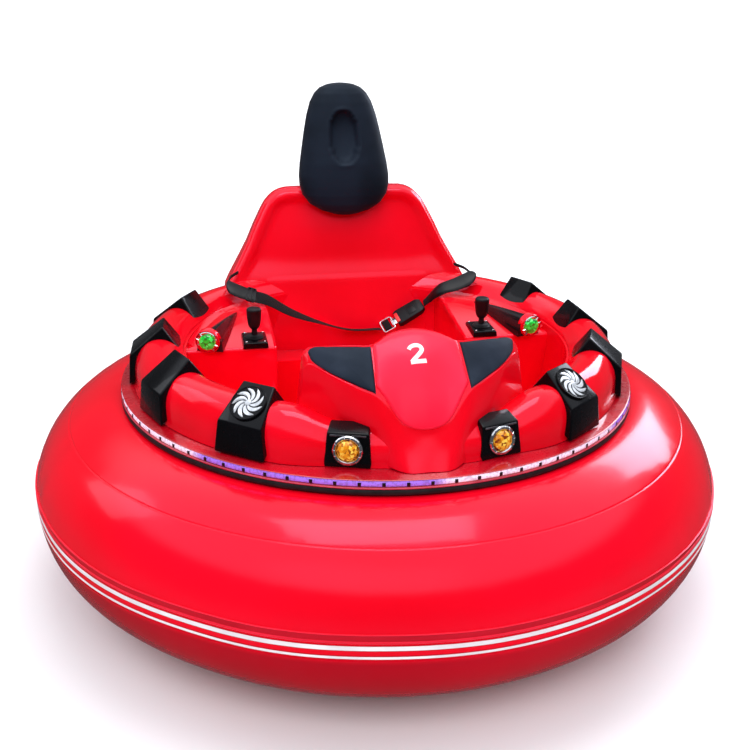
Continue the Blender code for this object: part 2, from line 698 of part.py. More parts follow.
# ---------------------------------------------------------------- joysticks
def make_joystick(side, sign):
    width, length, height = JOYSTICK_BASE
    slope = (POD_REAR_TOP - POD_FRONT_TOP) / (POD_REAR_Y - POD_FRONT_Y)
    deck = POD_FRONT_TOP + slope * (JOYSTICK_Y + length / 2 - POD_FRONT_Y) + GAP
    x = sign * JOYSTICK_X
    top = deck + height
    pivot = Vector((x, JOYSTICK_Y, top + 0.011))
    name = "joystick_base_" + side
    low = deck - 0.012
    near_y, far_y = JOYSTICK_Y - length / 2, JOYSTICK_Y + length / 2
    base = box(name, (x - width / 2, near_y, low), (x + width / 2, far_y, top), black_gloss())
    for place in (-1, 1):
        near, far = sorted((x + place * 0.0115, x + place * 0.0160))
        ear = box(name + "_ear%d" % place, (near, JOYSTICK_Y - 0.008, low + 0.015),
                  (far, JOYSTICK_Y + 0.008, pivot.z + 0.007), black_gloss())
        join(base, ear)
    pin = disc(name + "_pin", STICK_PIN_RADIUS, -0.014, 0.014, 12, zinc_plate(), pivot, (1, 0, 0))
    join(base, pin)
    guard = extrude_x(name + "_deck", pod_outline(-GAP, POD_FRONT_TOP - 0.08), x - width, x + width,
                      black_gloss())
    cut(base, guard)

    bore = STICK_PIN_RADIUS + PIN_PLAY
    eye = turned("joystick_" + side, [(bore, -0.010), (0.0095, -0.010), (0.0095, 0.010), (bore, 0.010)],
                 12, black_matte(), pivot, (1, 0, 0))
    stem = [(0, 0.0070), (0.0075, 0.0070), (0.0085, 0.016), (0.012, 0.020), (0.017, 0.040),
            (GRIP_RADIUS, 0.062), (GRIP_RADIUS, GRIP_HEIGHT - 0.006), (GRIP_RADIUS - 0.006, GRIP_HEIGHT),
            (0, GRIP_HEIGHT)]
    join(eye, turned("grip_" + side, stem, 16, black_matte(), pivot))


# ---------------------------------------------------------------- chassis and wheels
def make_chassis():
    half, reach, tube = FRAME_HALF_WIDTH, FRAME_HALF_LENGTH, FRAME_TUBE
    steel = frame_steel()
    near, far = half - tube / 2, half + tube / 2
    frame = box("chassis_frame", (-far, -reach, FRAME_BOTTOM), (-near, reach, FRAME_TOP), steel)
    join(frame, box("frame_rail", (near, -reach, FRAME_BOTTOM), (far, reach, FRAME_TOP), steel))
    for label, y in (("front", -CASTER_Y), ("middle", 0.10), ("rear", CASTER_Y)):
        join(frame, box("frame_cross_" + label, (-half, y - tube / 2, FRAME_BOTTOM + 0.001),
                        (half, y + tube / 2, FRAME_TOP - 0.001), steel))
    for end, sign in ENDS:
        y = sign * CASTER_Y
        join(frame, box("caster_plate_" + end, (-0.055, y - 0.045, FRAME_BOTTOM - 0.007),
                        (0.055, y + 0.045, FRAME_BOTTOM + 0.004), steel))
        pin = disc("kingpin_" + end, KINGPIN_RADIUS, -0.030, 0.004, 20, steel, (0, y, FRAME_BOTTOM),
                   (0, 0, 1))
        join(frame, pin)


def make_drive(side, sign):
    middle = Vector((sign * DRIVE_TRACK / 2, 0, DRIVE_WHEEL_RADIUS))
    inner = sign * (DRIVE_TRACK / 2 - DRIVE_WHEEL_WIDTH / 2)
    steel = frame_steel()
    axle_end = DRIVE_WHEEL_WIDTH / 2 + 0.004
    motor = disc("drive_motor_" + side, MOTOR_RADIUS, -0.205, -0.040, 24, steel, middle, (sign, 0, 0))
    join(motor, disc("axle_" + side, AXLE_RADIUS, -0.060, axle_end, 20, zinc_plate(), middle, (sign, 0, 0)))
    x0, x1 = sorted((inner - sign * 0.130, inner - sign * 0.045))
    join(motor, box("motor_foot_" + side, (x0, -0.050, DRIVE_WHEEL_RADIUS + MOTOR_RADIUS - 0.020),
                    (x1, 0.050, FRAME_BOTTOM - GAP), steel))
    bore = AXLE_RADIUS + PIN_PLAY
    half = DRIVE_WHEEL_WIDTH / 2
    hub = [(bore, -half), (0.030, -half), (0.032, -0.010), (0.050, -0.010), (0.054, -half + 0.002),
           (DRIVE_HUB_RADIUS, -half + 0.002), (DRIVE_HUB_RADIUS, half - 0.002), (0.054, half - 0.002),
           (0.050, 0.010), (0.032, 0.010), (0.030, half), (bore, half)]
    turned("drive_hub_" + side, hub, 24, zinc_plate(), middle, (sign, 0, 0))
    seat = DRIVE_HUB_RADIUS + GAP
    shoulder, tread = DRIVE_WHEEL_RADIUS - 0.010, DRIVE_WHEEL_RADIUS - 0.001
    tyre = [(seat, -half), (shoulder, -half), (tread, -half + 0.010), (DRIVE_WHEEL_RADIUS, 0),
            (tread, half - 0.010), (shoulder, half), (seat, half)]
    turned("drive_tyre_" + side, tyre, 32, tyre_rubber(), middle, (sign, 0, 0))


def make_caster(end, sign):
    y = sign * CASTER_Y
    swivel = Vector((0, y, FRAME_BOTTOM - 0.007))
    wheel = Vector((0, y + CASTER_TRAIL, CASTER_WHEEL_RADIUS))
    under = swivel.z - 0.0006
    half = CASTER_WHEEL_WIDTH / 2 + 0.003
    zinc = zinc_plate()
    bore = KINGPIN_RADIUS + PIN_PLAY
    crown = [(bore, -0.014), (0.032, -0.014), (0.032, -0.0006), (bore, -0.0006)]
    fork = turned("caster_fork_" + end, crown, 24, zinc, swivel)
    for place in (-1, 1):
        x0, x1 = sorted((place * half, place * (half + 0.004)))
        leg = [(x, py, pz) for x in (x0, x1) for py, pz in (
            (y - 0.022, under - 0.002), (y + 0.022, under - 0.002), (wheel.y + 0.014, wheel.z - 0.004),
            (wheel.y + 0.006, wheel.z - 0.014), (wheel.y - 0.012, wheel.z - 0.010))]
        join(fork, hull("fork_leg_%s%d" % (end, place), leg, zinc))
    reach = half + 0.006
    pin = disc("caster_axle_" + end, CASTER_AXLE_RADIUS, -reach, reach, 16, zinc, wheel, (1, 0, 0))
    join(fork, pin)
    r, w = CASTER_WHEEL_RADIUS, CASTER_WHEEL_WIDTH / 2
    bore = CASTER_AXLE_RADIUS + PIN_PLAY
    tread = [(bore, -w), (r - 0.005, -w), (r, -w + 0.006), (r, w - 0.006), (r - 0.005, w), (bore, w)]
    turned("caster_wheel_" + end, tread, 28, tyre_rubber(), wheel, (1, 0, 0))


def make_battery():
    width, length, height = BATTERY_SIZE
    low = FRAME_TOP + GAP
    y = SEAT_FRONT_Y + SHELL_THICKNESS + 0.008
    box("battery_pack", (-width / 2, y, low), (width / 2, y + length, low + height), black_matte(),
        bevel=0.006)


def main():
    for item in list(bpy.data.objects):
        bpy.data.objects.remove(item)
    make_tube()
    make_rim()
    make_cowl()
    keep_out = cowl_keep_out()
    make_tub()
    make_console(keep_out)
    make_blocks(keep_out)
    make_side_lamps()
    make_seat_back(keep_out)
    make_headrest()
    make_belt()
    make_chassis()
    for side, sign in SIDES:
        make_joystick(side, sign)
        make_drive(side, sign)
    for end, sign in ENDS:
        make_caster(end, sign)
    make_battery()


main()
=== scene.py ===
# %% [markdown]
# # A one-rider bumper car with an inflated ring
#
# The car is a round air tube with a moulded red body standing in the middle of it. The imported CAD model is
# the frame: it says where everything is, in metres, with the front towards -Y and Z up. This lesson dresses
# that frame. Each step first says what the real thing is and why it is made the way it is here.

# %% Load the frame
import bpy
import bmesh
from math import pi, tau, sin, cos, tan, hypot, radians, sqrt
from mathutils import Matrix, Vector, noise


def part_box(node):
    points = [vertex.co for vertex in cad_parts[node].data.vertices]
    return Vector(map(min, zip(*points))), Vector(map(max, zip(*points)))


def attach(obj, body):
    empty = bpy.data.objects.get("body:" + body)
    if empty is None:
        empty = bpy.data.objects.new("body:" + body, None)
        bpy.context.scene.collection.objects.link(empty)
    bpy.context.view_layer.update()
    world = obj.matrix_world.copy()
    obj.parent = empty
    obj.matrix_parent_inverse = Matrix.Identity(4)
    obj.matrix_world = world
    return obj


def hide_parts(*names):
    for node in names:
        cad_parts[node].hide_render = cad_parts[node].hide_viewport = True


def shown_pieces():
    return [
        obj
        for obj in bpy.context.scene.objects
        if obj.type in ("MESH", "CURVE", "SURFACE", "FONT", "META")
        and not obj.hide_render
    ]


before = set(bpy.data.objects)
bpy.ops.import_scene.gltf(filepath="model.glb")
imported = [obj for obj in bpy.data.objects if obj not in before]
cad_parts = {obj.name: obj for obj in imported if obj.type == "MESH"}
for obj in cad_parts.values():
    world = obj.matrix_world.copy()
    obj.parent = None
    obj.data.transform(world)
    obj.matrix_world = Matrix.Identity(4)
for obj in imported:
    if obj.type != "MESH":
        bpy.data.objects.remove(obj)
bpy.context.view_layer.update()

# %% [markdown]
# ## Camera, light and floor
#
# The car is seen from a little above and a little to its right-hand side, with a lens that is slightly
# longer than normal. A pale floor and big soft lamps give glossy paint something broad to mirror. Small
# lamps would leave hard white dots on it, so all of the lamps are metres wide.


# %% Camera
def aim(thing, position, target, roll=0.0):
    thing.location = position
    look = (Vector(target) - Vector(position)).to_track_quat("-Z", "Y").to_matrix()
    thing.rotation_euler = (look @ Matrix.Rotation(roll, 3, "Z")).to_euler()


CAMERA_AT = (-0.549, -2.904, 1.732)
LOOK_AT = (0.0, 0.0, 0.577)
camera = bpy.data.objects.new("camera", bpy.data.cameras.new("camera"))
camera.data.lens = 52.34
camera.data.sensor_width = 36.0
camera.data.shift_x = -0.0013
aim(camera, CAMERA_AT, LOOK_AT, roll=0.012)
bpy.context.collection.objects.link(camera)
bpy.context.scene.camera = camera
bpy.context.scene.view_settings.view_transform = "Standard"
print("camera stands", round((Vector(CAMERA_AT) - Vector(LOOK_AT)).length, 2), "m away")


# %% Lamps and sky
def soft_lamp(name, position, target, size, power, colour=(1.0, 1.0, 1.0)):
    light = bpy.data.lights.new(name, "AREA")
    light.shape = "RECTANGLE"
    light.size, light.size_y = size
    light.energy = power
    light.color = colour
    lamp = bpy.data.objects.new(name, light)
    aim(lamp, position, target)
    bpy.context.collection.objects.link(lamp)
    return lamp


soft_lamp("lamp_overhead", (0.0, -0.2, 4.4), (0, 0, 0.4), (2.6, 1.8), 55)
fill = soft_lamp("lamp_front", (-1.2, -5.0, 5.0), (0, 0, 0.5), (6.0, 3.2), 185)
fill.visible_glossy = False
soft_lamp("lamp_right", (3.4, 2.2, 2.6), (0.3, 0, 0.4), (1.8, 1.6), 72, (0.84, 0.88, 1.0))
soft_lamp("lamp_left", (-3.6, 1.2, 2.8), (-0.3, 0, 0.4), (1.6, 1.8), 14, (0.90, 0.93, 1.0))


def studio_sky():
    """White overhead and dim towards the horizon in reflections, and plain white behind the car."""
    sky = bpy.data.worlds.new("studio_sky")
    bpy.context.scene.world = sky
    sky.use_nodes = True
    nodes, links = sky.node_tree.nodes, sky.node_tree.links
    back = nodes["Background"]
    direction, parts = nodes.new("ShaderNodeTexCoord"), nodes.new("ShaderNodeSeparateXYZ")
    height = nodes.new("ShaderNodeMapRange")
    height.interpolation_type = "SMOOTHSTEP"
    height.inputs["From Min"].default_value, height.inputs["From Max"].default_value = 0.46, 0.62
    height.inputs["To Min"].default_value, height.inputs["To Max"].default_value = 0.10, 1.15
    links.new(direction.outputs["Generated"], parts.inputs["Vector"])
    links.new(parts.outputs["Z"], height.inputs["Value"])
    seen, plain = nodes.new("ShaderNodeLightPath"), nodes.new("ShaderNodeMix")
    plain.inputs["B"].default_value = 1.2
    links.new(seen.outputs["Is Camera Ray"], plain.inputs["Factor"])
    links.new(height.outputs["Result"], plain.inputs["A"])
    links.new(plain.outputs["Result"], back.inputs["Strength"])
    back.inputs["Color"].default_value = (0.86, 0.91, 1.0, 1.0)


studio_sky()

# %% [markdown]
# ## Finishes
#
# Every surface gets its own material. The body is gel-coated glass fibre: saturated red under a clear hard
# gloss, with a very slight orange-peel ripple and fine wear. The tube is welded PVC cloth: softer gloss, a
# faint weave and long lazy ripples. Patterns read Object coordinates, so that they stay put on a piece in
# every pose. One helper builds the parts that all of them share, and a value that is the same all over is
# set on the shader's own socket.


# %% A helper for finishes
class Finish:
    """A node-based material being built, with its shader and its object coordinates at hand."""

    def __init__(self, name, **constants):
        self.material = bpy.data.materials.new(name)
        self.material.use_nodes = True
        self.nodes = self.material.node_tree.nodes
        self.links = self.material.node_tree.links
        self.shader = self.nodes["Principled BSDF"]
        self.place = self.nodes.new("ShaderNodeTexCoord").outputs["Object"]
        for socket, value in constants.items():
            self.shader.inputs[socket.replace("_", " ")].default_value = value

    def noise(self, scale, detail=3.0, stretch=None, roughness=0.5):
        node = self.nodes.new("ShaderNodeTexNoise")
        node.inputs["Scale"].default_value = scale
        node.inputs["Detail"].default_value = detail
        node.inputs["Roughness"].default_value = roughness
        source = self.place
        if stretch is not None:
            mapping = self.nodes.new("ShaderNodeMapping")
            mapping.inputs["Scale"].default_value = stretch
            self.links.new(source, mapping.inputs["Vector"])
            source = mapping.outputs["Vector"]
        self.links.new(source, node.inputs["Vector"])
        return node.outputs["Fac"]

    def ramp(self, value, stops):
        node = self.nodes.new("ShaderNodeValToRGB")
        node.color_ramp.interpolation = "EASE"
        while len(node.color_ramp.elements) < len(stops):
            node.color_ramp.elements.new(0.5)
        for element, (position, colour) in zip(node.color_ramp.elements, stops):
            element.position = position
            element.color = (*colour, 1.0) if hasattr(colour, "__len__") else (colour, colour, colour, 1.0)
        self.links.new(value, node.inputs["Fac"])
        return node.outputs["Color"]

    def between(self, value, low, high):
        node = self.nodes.new("ShaderNodeMapRange")
        node.inputs["To Min"].default_value = low
        node.inputs["To Max"].default_value = high
        self.links.new(value, node.inputs["Value"])
        return node.outputs["Result"]

    def math(self, operation, first, second=None):
        node = self.nodes.new("ShaderNodeMath")
        node.operation = operation
        for socket, value in zip(node.inputs, (first, second)):
            if value is None:
                continue
            if isinstance(value, (int, float)):
                socket.default_value = value
            else:
                self.links.new(value, socket)
        return node.outputs["Value"]

    def blend(self, share, first, second):
        node = self.nodes.new("ShaderNodeMix")
        node.data_type = "RGBA"
        self.links.new(share, node.inputs["Factor"])
        for socket, value in ((node.inputs["A"], first), (node.inputs["B"], second)):
            if isinstance(value, tuple):
                socket.default_value = (*value, 1.0)
            else:
                self.links.new(value, socket)
        return node.outputs["Result"]

    def attribute(self, name):
        node = self.nodes.new("ShaderNodeAttribute")
        node.attribute_name = name
        return node.outputs["Fac"]

    def give(self, socket, value):
        self.links.new(value, self.shader.inputs[socket])
        return self

    def bump(self, height, strength, distance):
        node = self.nodes.new("ShaderNodeBump")
        node.inputs["Strength"].default_value = strength
        node.inputs["Distance"].default_value = distance
        self.links.new(height, node.inputs["Height"])
        below = self.shader.inputs["Normal"].links
        if below:
            self.links.new(below[0].from_socket, node.inputs["Normal"])
        self.links.new(node.outputs["Normal"], self.shader.inputs["Normal"])
        return self

    def tones(self, dark, light, scale, detail=3.0, stretch=None):
        """A base colour that drifts between two tones."""
        drift = self.noise(scale, detail, stretch)
        return self.give("Base Color", self.ramp(drift, [(0.32, dark), (0.68, light)]))

    def gloss(self, scale, detail, least, most):
        """A roughness that drifts between two values."""
        return self.give("Roughness", self.between(self.noise(scale, detail), least, most))

    def grain(self, scale, detail, strength, distance):
        """A fine relief of plain noise."""
        return self.bump(self.noise(scale, detail), strength, distance)


# %% Body and tube finishes
PINK_GLOSS = (1.0, 0.40, 0.78, 1.0)
gelcoat = Finish("red_gelcoat_gloss", Coat_Weight=0.45, Coat_Roughness=0.03, Coat_IOR=1.35,
                 Specular_IOR_Level=0.45, Specular_Tint=PINK_GLOSS)
gelcoat.tones((0.84, 0.0008, 0.0080), (0.95, 0.0014, 0.0140), 3.0)
gelcoat.gloss(22.0, 5.0, 0.08, 0.16)
gelcoat.grain(55.0, 2.0, 0.035, 0.002)
gelcoat.grain(5.0, 1.0, 0.10, 0.004)

dome_coat = Finish("red_gelcoat_panel", Coat_Weight=0.25, Coat_Roughness=0.14, Coat_IOR=1.35,
                   Specular_IOR_Level=0.5, Specular_Tint=PINK_GLOSS)
dome_coat.tones((0.93, 0.0030, 0.0200), (1.00, 0.0080, 0.0360), 4.0)
dome_coat.gloss(30.0, 4.0, 0.30, 0.42)
dome_coat.grain(60.0, 2.0, 0.04, 0.002)

ring_vinyl = Finish("red_vinyl_tube", Coat_Weight=0.30, Coat_Roughness=0.07, Coat_IOR=1.35,
                    Specular_IOR_Level=0.45, Specular_Tint=PINK_GLOSS)
section = ring_vinyl.attribute("section")


def cloth_tone(dark, light):
    """The tube's red, which drifts slowly between two tones."""
    return ring_vinyl.ramp(ring_vinyl.noise(1.6, 2.0), [(0.30, dark), (0.70, light)])


upper = cloth_tone((0.86, 0.0008, 0.0100), (0.97, 0.0014, 0.0160))
# The lower tone is painted shade: the same cloth red at about half its brightness, for the underside that
# faces away from the lamps.
lower = cloth_tone((0.43, 0.0004, 0.0060), (0.53, 0.0007, 0.0090))
# under is the share of painted shade: the whole underside, from just below the lower stripe round to the
# inside, takes the darker copy.
under = ring_vinyl.ramp(section, [(0.476, 1.0), (0.492, 0.0)])
ring_vinyl.give("Base Color", ring_vinyl.blend(under, upper, lower))
ring_vinyl.gloss(16.0, 6.0, 0.13, 0.22)
ring_vinyl.grain(420.0, 1.0, 0.035, 0.0004)
ring_vinyl.grain(3.2, 1.0, 0.34, 0.008)

band_vinyl = Finish("red_vinyl_band", Specular_IOR_Level=0.40, Specular_Tint=PINK_GLOSS)
band_vinyl.tones((0.52, 0.0008, 0.0050), (0.62, 0.0012, 0.0075), 5.0)
band_vinyl.gloss(30.0, 4.0, 0.30, 0.45)
band_vinyl.grain(380.0, 1.0, 0.05, 0.0004)

welt_vinyl = Finish("red_vinyl_welt", Specular_IOR_Level=0.45, Specular_Tint=PINK_GLOSS)
welt_vinyl.tones((0.86, 0.0120, 0.0300), (0.95, 0.0200, 0.0450), 6.0)
welt_vinyl.gloss(30.0, 4.0, 0.28, 0.40)

stripe_white = Finish("white_vinyl_stripe", Coat_Weight=0.3, Coat_Roughness=0.2)
stripe_white.tones((0.86, 0.78, 0.80), (0.98, 0.93, 0.94), 9.0)
stripe_white.gloss(60.0, 4.0, 0.30, 0.50)
stripe_white.grain(300.0, 1.0, 0.05, 0.0004)
print("body finishes:", [name for name in bpy.data.materials.keys() if name.startswith("red")])

# %% [markdown]
# ## Turned and lofted pieces
#
# Most of the car goes round the Z axis, so one helper carries a (radius, height) section round it, and the
# section may change with the angle. A spline helper turns a handful of measured points into a fair curve:
# the frame keeps flat chords for speed, while paint shows every kink.


# %% Helpers for curves and pieces
SIDES = (("left", 1), ("right", -1))
TOUCHING = 1e-6


def from_front(radius, angle, height):
    """A point at an angle from the front (-Y), positive towards +X."""
    return Vector((radius * sin(angle), -radius * cos(angle), height))


def ease(low, high, value):
    t = min(1.0, max(0.0, (value - low) / (high - low)))
    return t * t * (3 - 2 * t)


def spline(p, u):
    """The Catmull-Rom curve between the middle two of four points."""
    return (p[1] * 2 + (p[2] - p[0]) * u + (p[0] * 2 - p[1] * 5 + p[2] * 4 - p[3]) * u * u
            + (p[1] * 3 - p[0] - p[2] * 3 + p[3]) * u * u * u) / 2


def fair(points, t):
    """The Catmull-Rom curve through the points at a fractional index."""
    last = len(points) - 1
    i = min(int(max(t, 0.0)), last - 1)
    u = t - i
    p = [Vector(points[min(max(k, 0), last)]) for k in (i - 1, i, i + 1, i + 2)]
    if i == 0:
        p[0] = p[1] * 2 - p[2]
    if i == last - 1:
        p[3] = p[2] * 2 - p[1]
    return spline(p, u)


def fair_line(points, per_span):
    spans = len(points) - 1
    return [fair(points, i / per_span) for i in range(spans * per_span + 1)]


def settle(name, bm, finish, body="car_body", stands_for=(), sharp=40, outward=True):
    """Make a bmesh in world places into a finished piece that rides on a body."""
    if outward:
        bmesh.ops.recalc_face_normals(bm, faces=bm.faces)
    mesh = bpy.data.meshes.new(name)
    bm.to_mesh(mesh)
    bm.free()
    return settle_mesh(name, mesh, finish, body, stands_for, sharp)


def settle_mesh(name, mesh, finish, body="car_body", stands_for=(), sharp=40):
    mesh.materials.clear()
    mesh.materials.append(finish.material)
    mesh.shade_smooth()
    if sharp is not None:
        mesh.set_sharp_from_angle(angle=radians(sharp))
    piece = bpy.data.objects.new(name, mesh)
    bpy.context.collection.objects.link(piece)
    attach(piece, body)
    if stands_for:
        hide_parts(*stands_for)
    return piece


def loft(loops, closed_run=False):
    """Quads between closed loops of the same length, joined end to end or capped."""
    bm = bmesh.new()
    rings = [[bm.verts.new(point) for point in loop] for loop in loops]
    pairs = list(zip(rings, rings[1:])) + ([(rings[-1], rings[0])] if closed_run else [])
    for here, there in pairs:
        for i in range(len(here)):
            j = (i + 1) % len(here)
            bm.faces.new((here[i], here[j], there[j], there[i]))
    if not closed_run:
        bm.faces.new(rings[0][::-1])
        bm.faces.new(rings[-1])
    return bm


def ring(section_at, steps=192):
    """A closed section carried right round Z."""
    loops = []
    for step in range(steps):
        angle = tau * step / steps
        loops.append([from_front(radius, angle, height) for radius, height in section_at(angle)])
    return loft(loops, closed_run=True)


def turned_vert(bm, radius, turn, height):
    return bm.verts.new((radius * cos(turn), radius * sin(turn), height))


def turned(profile, steps, centre=(0, 0, 0)):
    """A (radius, height) profile spun upright; it runs from axis to axis or back to its own start."""
    bm = bmesh.new()
    rows = []
    for radius, height in profile:
        count = 1 if radius < TOUCHING else steps
        rows.append([turned_vert(bm, radius, tau * i / steps, height) for i in range(count)])
    for low, high in zip(rows, rows[1:]):
        for i in range(steps):
            j = (i + 1) % steps
            corners = [low[i % len(low)], low[j % len(low)], high[j % len(high)], high[i % len(high)]]
            corners = [c for k, c in enumerate(corners) if c not in corners[:k]]
            if len(corners) > 2:
                bm.faces.new(corners)
    if profile[0] == profile[-1]:
        bmesh.ops.remove_doubles(bm, verts=bm.verts, dist=TOUCHING)
    return moved(bm, Matrix.Translation(centre))


def moved(bm, matrix):
    bmesh.ops.transform(bm, matrix=matrix, verts=bm.verts)
    return bm


def hull(points, bevel=0.0, segments=3):
    """The convex solid round the points, with its edges rounded."""
    bm = bmesh.new()
    for point in points:
        bm.verts.new(point)
    made = bmesh.ops.convex_hull(bm, input=bm.verts)
    spare = [item for item in made["geom_interior"] if isinstance(item, bmesh.types.BMVert)]
    bmesh.ops.delete(bm, geom=spare, context="VERTS")
    bmesh.ops.dissolve_limit(bm, angle_limit=radians(2), verts=bm.verts, edges=bm.edges)
    return rounded_off(bm, bevel, segments)


def rounded_off(bm, bevel, segments):
    if bevel:
        bmesh.ops.bevel(bm, geom=bm.edges[:], offset=bevel, segments=segments, profile=0.5, affect="EDGES",
                        clamp_overlap=True)
    return bm


def brick(xs, ys, zs, bevel, segments):
    """A box from its low and high places along each axis, with rounded edges."""
    return hull([(x, y, z) for x in xs for y in ys for z in zs], bevel, segments)


halfway = fair([(0, 0), (1, 1), (2, 0)], 0.5)
print("a fair curve through three points passes", tuple(round(c, 3) for c in halfway))

# %% [markdown]
# ## Places taken from the frame
#
# The sizes below repeat the frame's own: the tube's section, the rim that stands on it, and the cowl. They
# are read from the boxes of the frame's nodes where a box is enough.

# %% Sizes of the ring
tube_low, tube_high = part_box("inflatable_tube")
TUBE_RADIUS = 0.706
TUBE_HALF_WIDTH = tube_high.x - TUBE_RADIUS
TUBE_MID = (tube_low.z + tube_high.z) / 2
TUBE_HALF_HEIGHT = (tube_high.z - tube_low.z) / 2
TUBE_MEAN_HALF = 0.262
RIM_LOW, RIM_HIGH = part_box("light_rail")
RIM = 0.720
LEDGE_INNER = 0.652
COWL_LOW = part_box("ring_cowl")[0]
COWL_SKIRT, COWL_FOOT = 0.682, 0.547
COWL_SPREAD, COWL_RISE, COWL_FOOT_TOP = 0.135, 0.1225, 0.6857
NOSE_SET_BACK, NOSE_DROP = 0.018, 0.036
COWL_STEPS = 240
COWL_ROLL = ((0.0, 0.0), (0.015, 0.45), (0.10, 0.71), (0.28, 0.93), (0.52, 1.0), (0.75, 0.93), (0.92, 0.77))
WALL = 0.006
print("tube section", round(TUBE_HALF_WIDTH, 4), "by", round(TUBE_HALF_HEIGHT, 4), "m")

# %% [markdown]
# ## The air tube
#
# The tube is cut from flat PVC cloth, welded edge to edge and blown up, so its section is nearly round, and
# small puckers run off each weld. The belly carries a dark band with a bead on its upper edge, a bright
# welt, and two white stripes, the upper one thicker. All of them follow one surface function, so a stripe
# never sinks into the cloth. The section angle is stored on the points for the paint, which darkens the
# cloth from just below the lower stripe down as painted shade.

# %% The tube's surface
BAND_TOP, BAND_FOOT = 0.168, -0.098
WELT = 0.094
STRIPES = (("upper", 0.036, 0.0056), ("lower", -0.062, 0.0034))
TOP_SEAM = 0.92


def near(value, middle, reach):
    return max(0.0, 1.0 - abs(value - middle) / reach)


def pucker(angle, section):
    """Small creases that run off the welds, and the long lazy ripple of the cloth."""
    spot = Vector((cos(angle), sin(angle), section * 0.6))
    lazy = noise.noise(spot * 2.3) * 0.0022
    crease = noise.noise(Vector((cos(angle), sin(angle), 0.0)) * 17.0) * 0.0021
    crease += noise.noise(Vector((cos(angle), sin(angle), 3.0)) * 41.0) * 0.0008
    weight = near(section, BAND_TOP + 0.10, 0.34) + 0.5 * near(section, TOP_SEAM, 0.22)
    return lazy + crease * weight - 0.0012


def tube_point(angle, section, lift=0.0):
    wobble = 0.0032 * noise.noise(Vector((cos(angle), sin(angle), 7.0)) * 3.0)
    section_here = section + (wobble / 0.26 if abs(section) < 0.3 else 0.0)
    fold = -0.0016 * near(section, TOP_SEAM, 0.012)
    band = -0.0014 if BAND_FOOT < section < BAND_TOP else 0.0
    bead = 0.0016 * near(section, BAND_TOP, 0.007)
    out = pucker(angle, section) + fold + band + bead + lift
    if 1.15 < section < 2.1:
        out = min(out, 0.0)
    c, s = cos(section_here), sin(section_here)
    normal = Vector((c / TUBE_HALF_WIDTH, s / TUBE_HALF_HEIGHT)).normalized()
    radius = TUBE_RADIUS + TUBE_HALF_WIDTH * c + normal.x * out
    return from_front(radius, angle, TUBE_MID + TUBE_HALF_HEIGHT * s + normal.y * out)


# %% The tube's cloth
def tube_sections():
    """Section angles, closer together at the belly and at the seam."""
    fine = [-pi + tau * i / 84 for i in range(84)]
    for middle, step in ((BAND_TOP, 0.0035), (BAND_FOOT, 0.004), (TOP_SEAM, 0.006)):
        fine = [s for s in fine if abs(s - middle) > step * 3] + [middle + step * k for k in range(-3, 4)]
    return sorted(fine)


AROUND = 288
sections = tube_sections()
loops = [[tube_point(tau * i / AROUND, s) for s in sections] for i in range(AROUND)]
cloth = settle("tube_cloth", loft(loops, closed_run=True), ring_vinyl,
               stands_for=("inflatable_tube",), sharp=None)
values = cloth.data.attributes.new("section", "FLOAT", "POINT")
values.data.foreach_set("value", [(s + pi) / tau for i in range(AROUND) for s in sections])
print("tube cloth:", len(cloth.data.polygons), "faces,", len(sections), "points round its section")


# %% Band, welt and stripes
def tube_strip(name, middle, half, thickness, finish, across=5, crown=0.0):
    """A strip bonded to the tube: its middle section angle, its half width in metres and its thickness."""
    half_angle = half / TUBE_MEAN_HALF
    shares = [-1 + 2 * k / (across - 1) for k in range(across)]
    loops = []
    for i in range(AROUND):
        angle = tau * i / AROUND
        top = []
        for s in shares:
            proud = thickness * (0.55 if abs(s) == 1 else 1) + crown * (1 - s * s)
            top.append(tube_point(angle, middle + half_angle * s, proud))
        back = [tube_point(angle, middle + half_angle * s, -0.0012) for s in reversed(shares)]
        loops.append(top + back)
    return settle(name, loft(loops, closed_run=True), finish, sharp=50)


tube_strip("tube_band", 0.131, 0.0088, 0.0010, band_vinyl)
tube_strip("tube_bead", BAND_TOP, 0.0014, 0.0016, welt_vinyl, 3, 0.0008)
tube_strip("tube_welt", WELT, 0.0034, 0.0020, welt_vinyl, 5, 0.0014)
for label, middle, half in STRIPES:
    tube_strip("tube_stripe_" + label, middle, half, 0.0022, stripe_white)
    tube_strip("tube_groove_" + label, middle, half + 0.0022, 0.0008, band_vinyl)
strips = [o.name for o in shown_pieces() if o.name.startswith("tube_") and o.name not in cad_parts]
print("strips on the tube:", strips)

# %% [markdown]
# ## Gasket, light rail and ledge
#
# A black rubber gasket seats the rail on the tube. The rail is extruded dark red PVC with a channel for the
# light strip, and its flat ledge runs in under the cowl. The strip is a milky tube with a small dark clip
# every few centimetres. The clips repeat evenly, so Geometry Nodes sets them round the rim from one small
# shape.

# %% Rim finishes
gasket_rubber = Finish("black_rubber_gasket", Roughness=0.55)
gasket_rubber.tones((0.006, 0.005, 0.006), (0.014, 0.010, 0.012), 30.0)
gasket_rubber.grain(260.0, 2.0, 0.12, 0.0006)

rail_pvc = Finish("dark_red_pvc_rail", Coat_Weight=0.9, Coat_Roughness=0.07)
scratch = rail_pvc.noise(26.0, 8.0, (1.0, 1.0, 6.0), 0.7)
worn = rail_pvc.ramp(scratch, [(0.64, 0.0), (0.70, 1.0)])
rail_tone = rail_pvc.ramp(rail_pvc.noise(7.0, 4.0),
                          [(0.3, (0.40, 0.0010, 0.0080)), (0.7, (0.58, 0.0020, 0.0130))])
rail_pvc.give("Base Color", rail_pvc.blend(worn, rail_tone, (0.66, 0.030, 0.060)))
rail_pvc.give("Roughness", rail_pvc.between(scratch, 0.10, 0.45))
rail_pvc.grain(90.0, 3.0, 0.05, 0.001)

lip_pvc = Finish("pink_red_pvc_lip", Coat_Weight=0.6, Coat_Roughness=0.15, Roughness=0.3)
lip_pvc.tones((0.55, 0.020, 0.060), (0.75, 0.060, 0.110), 12.0)

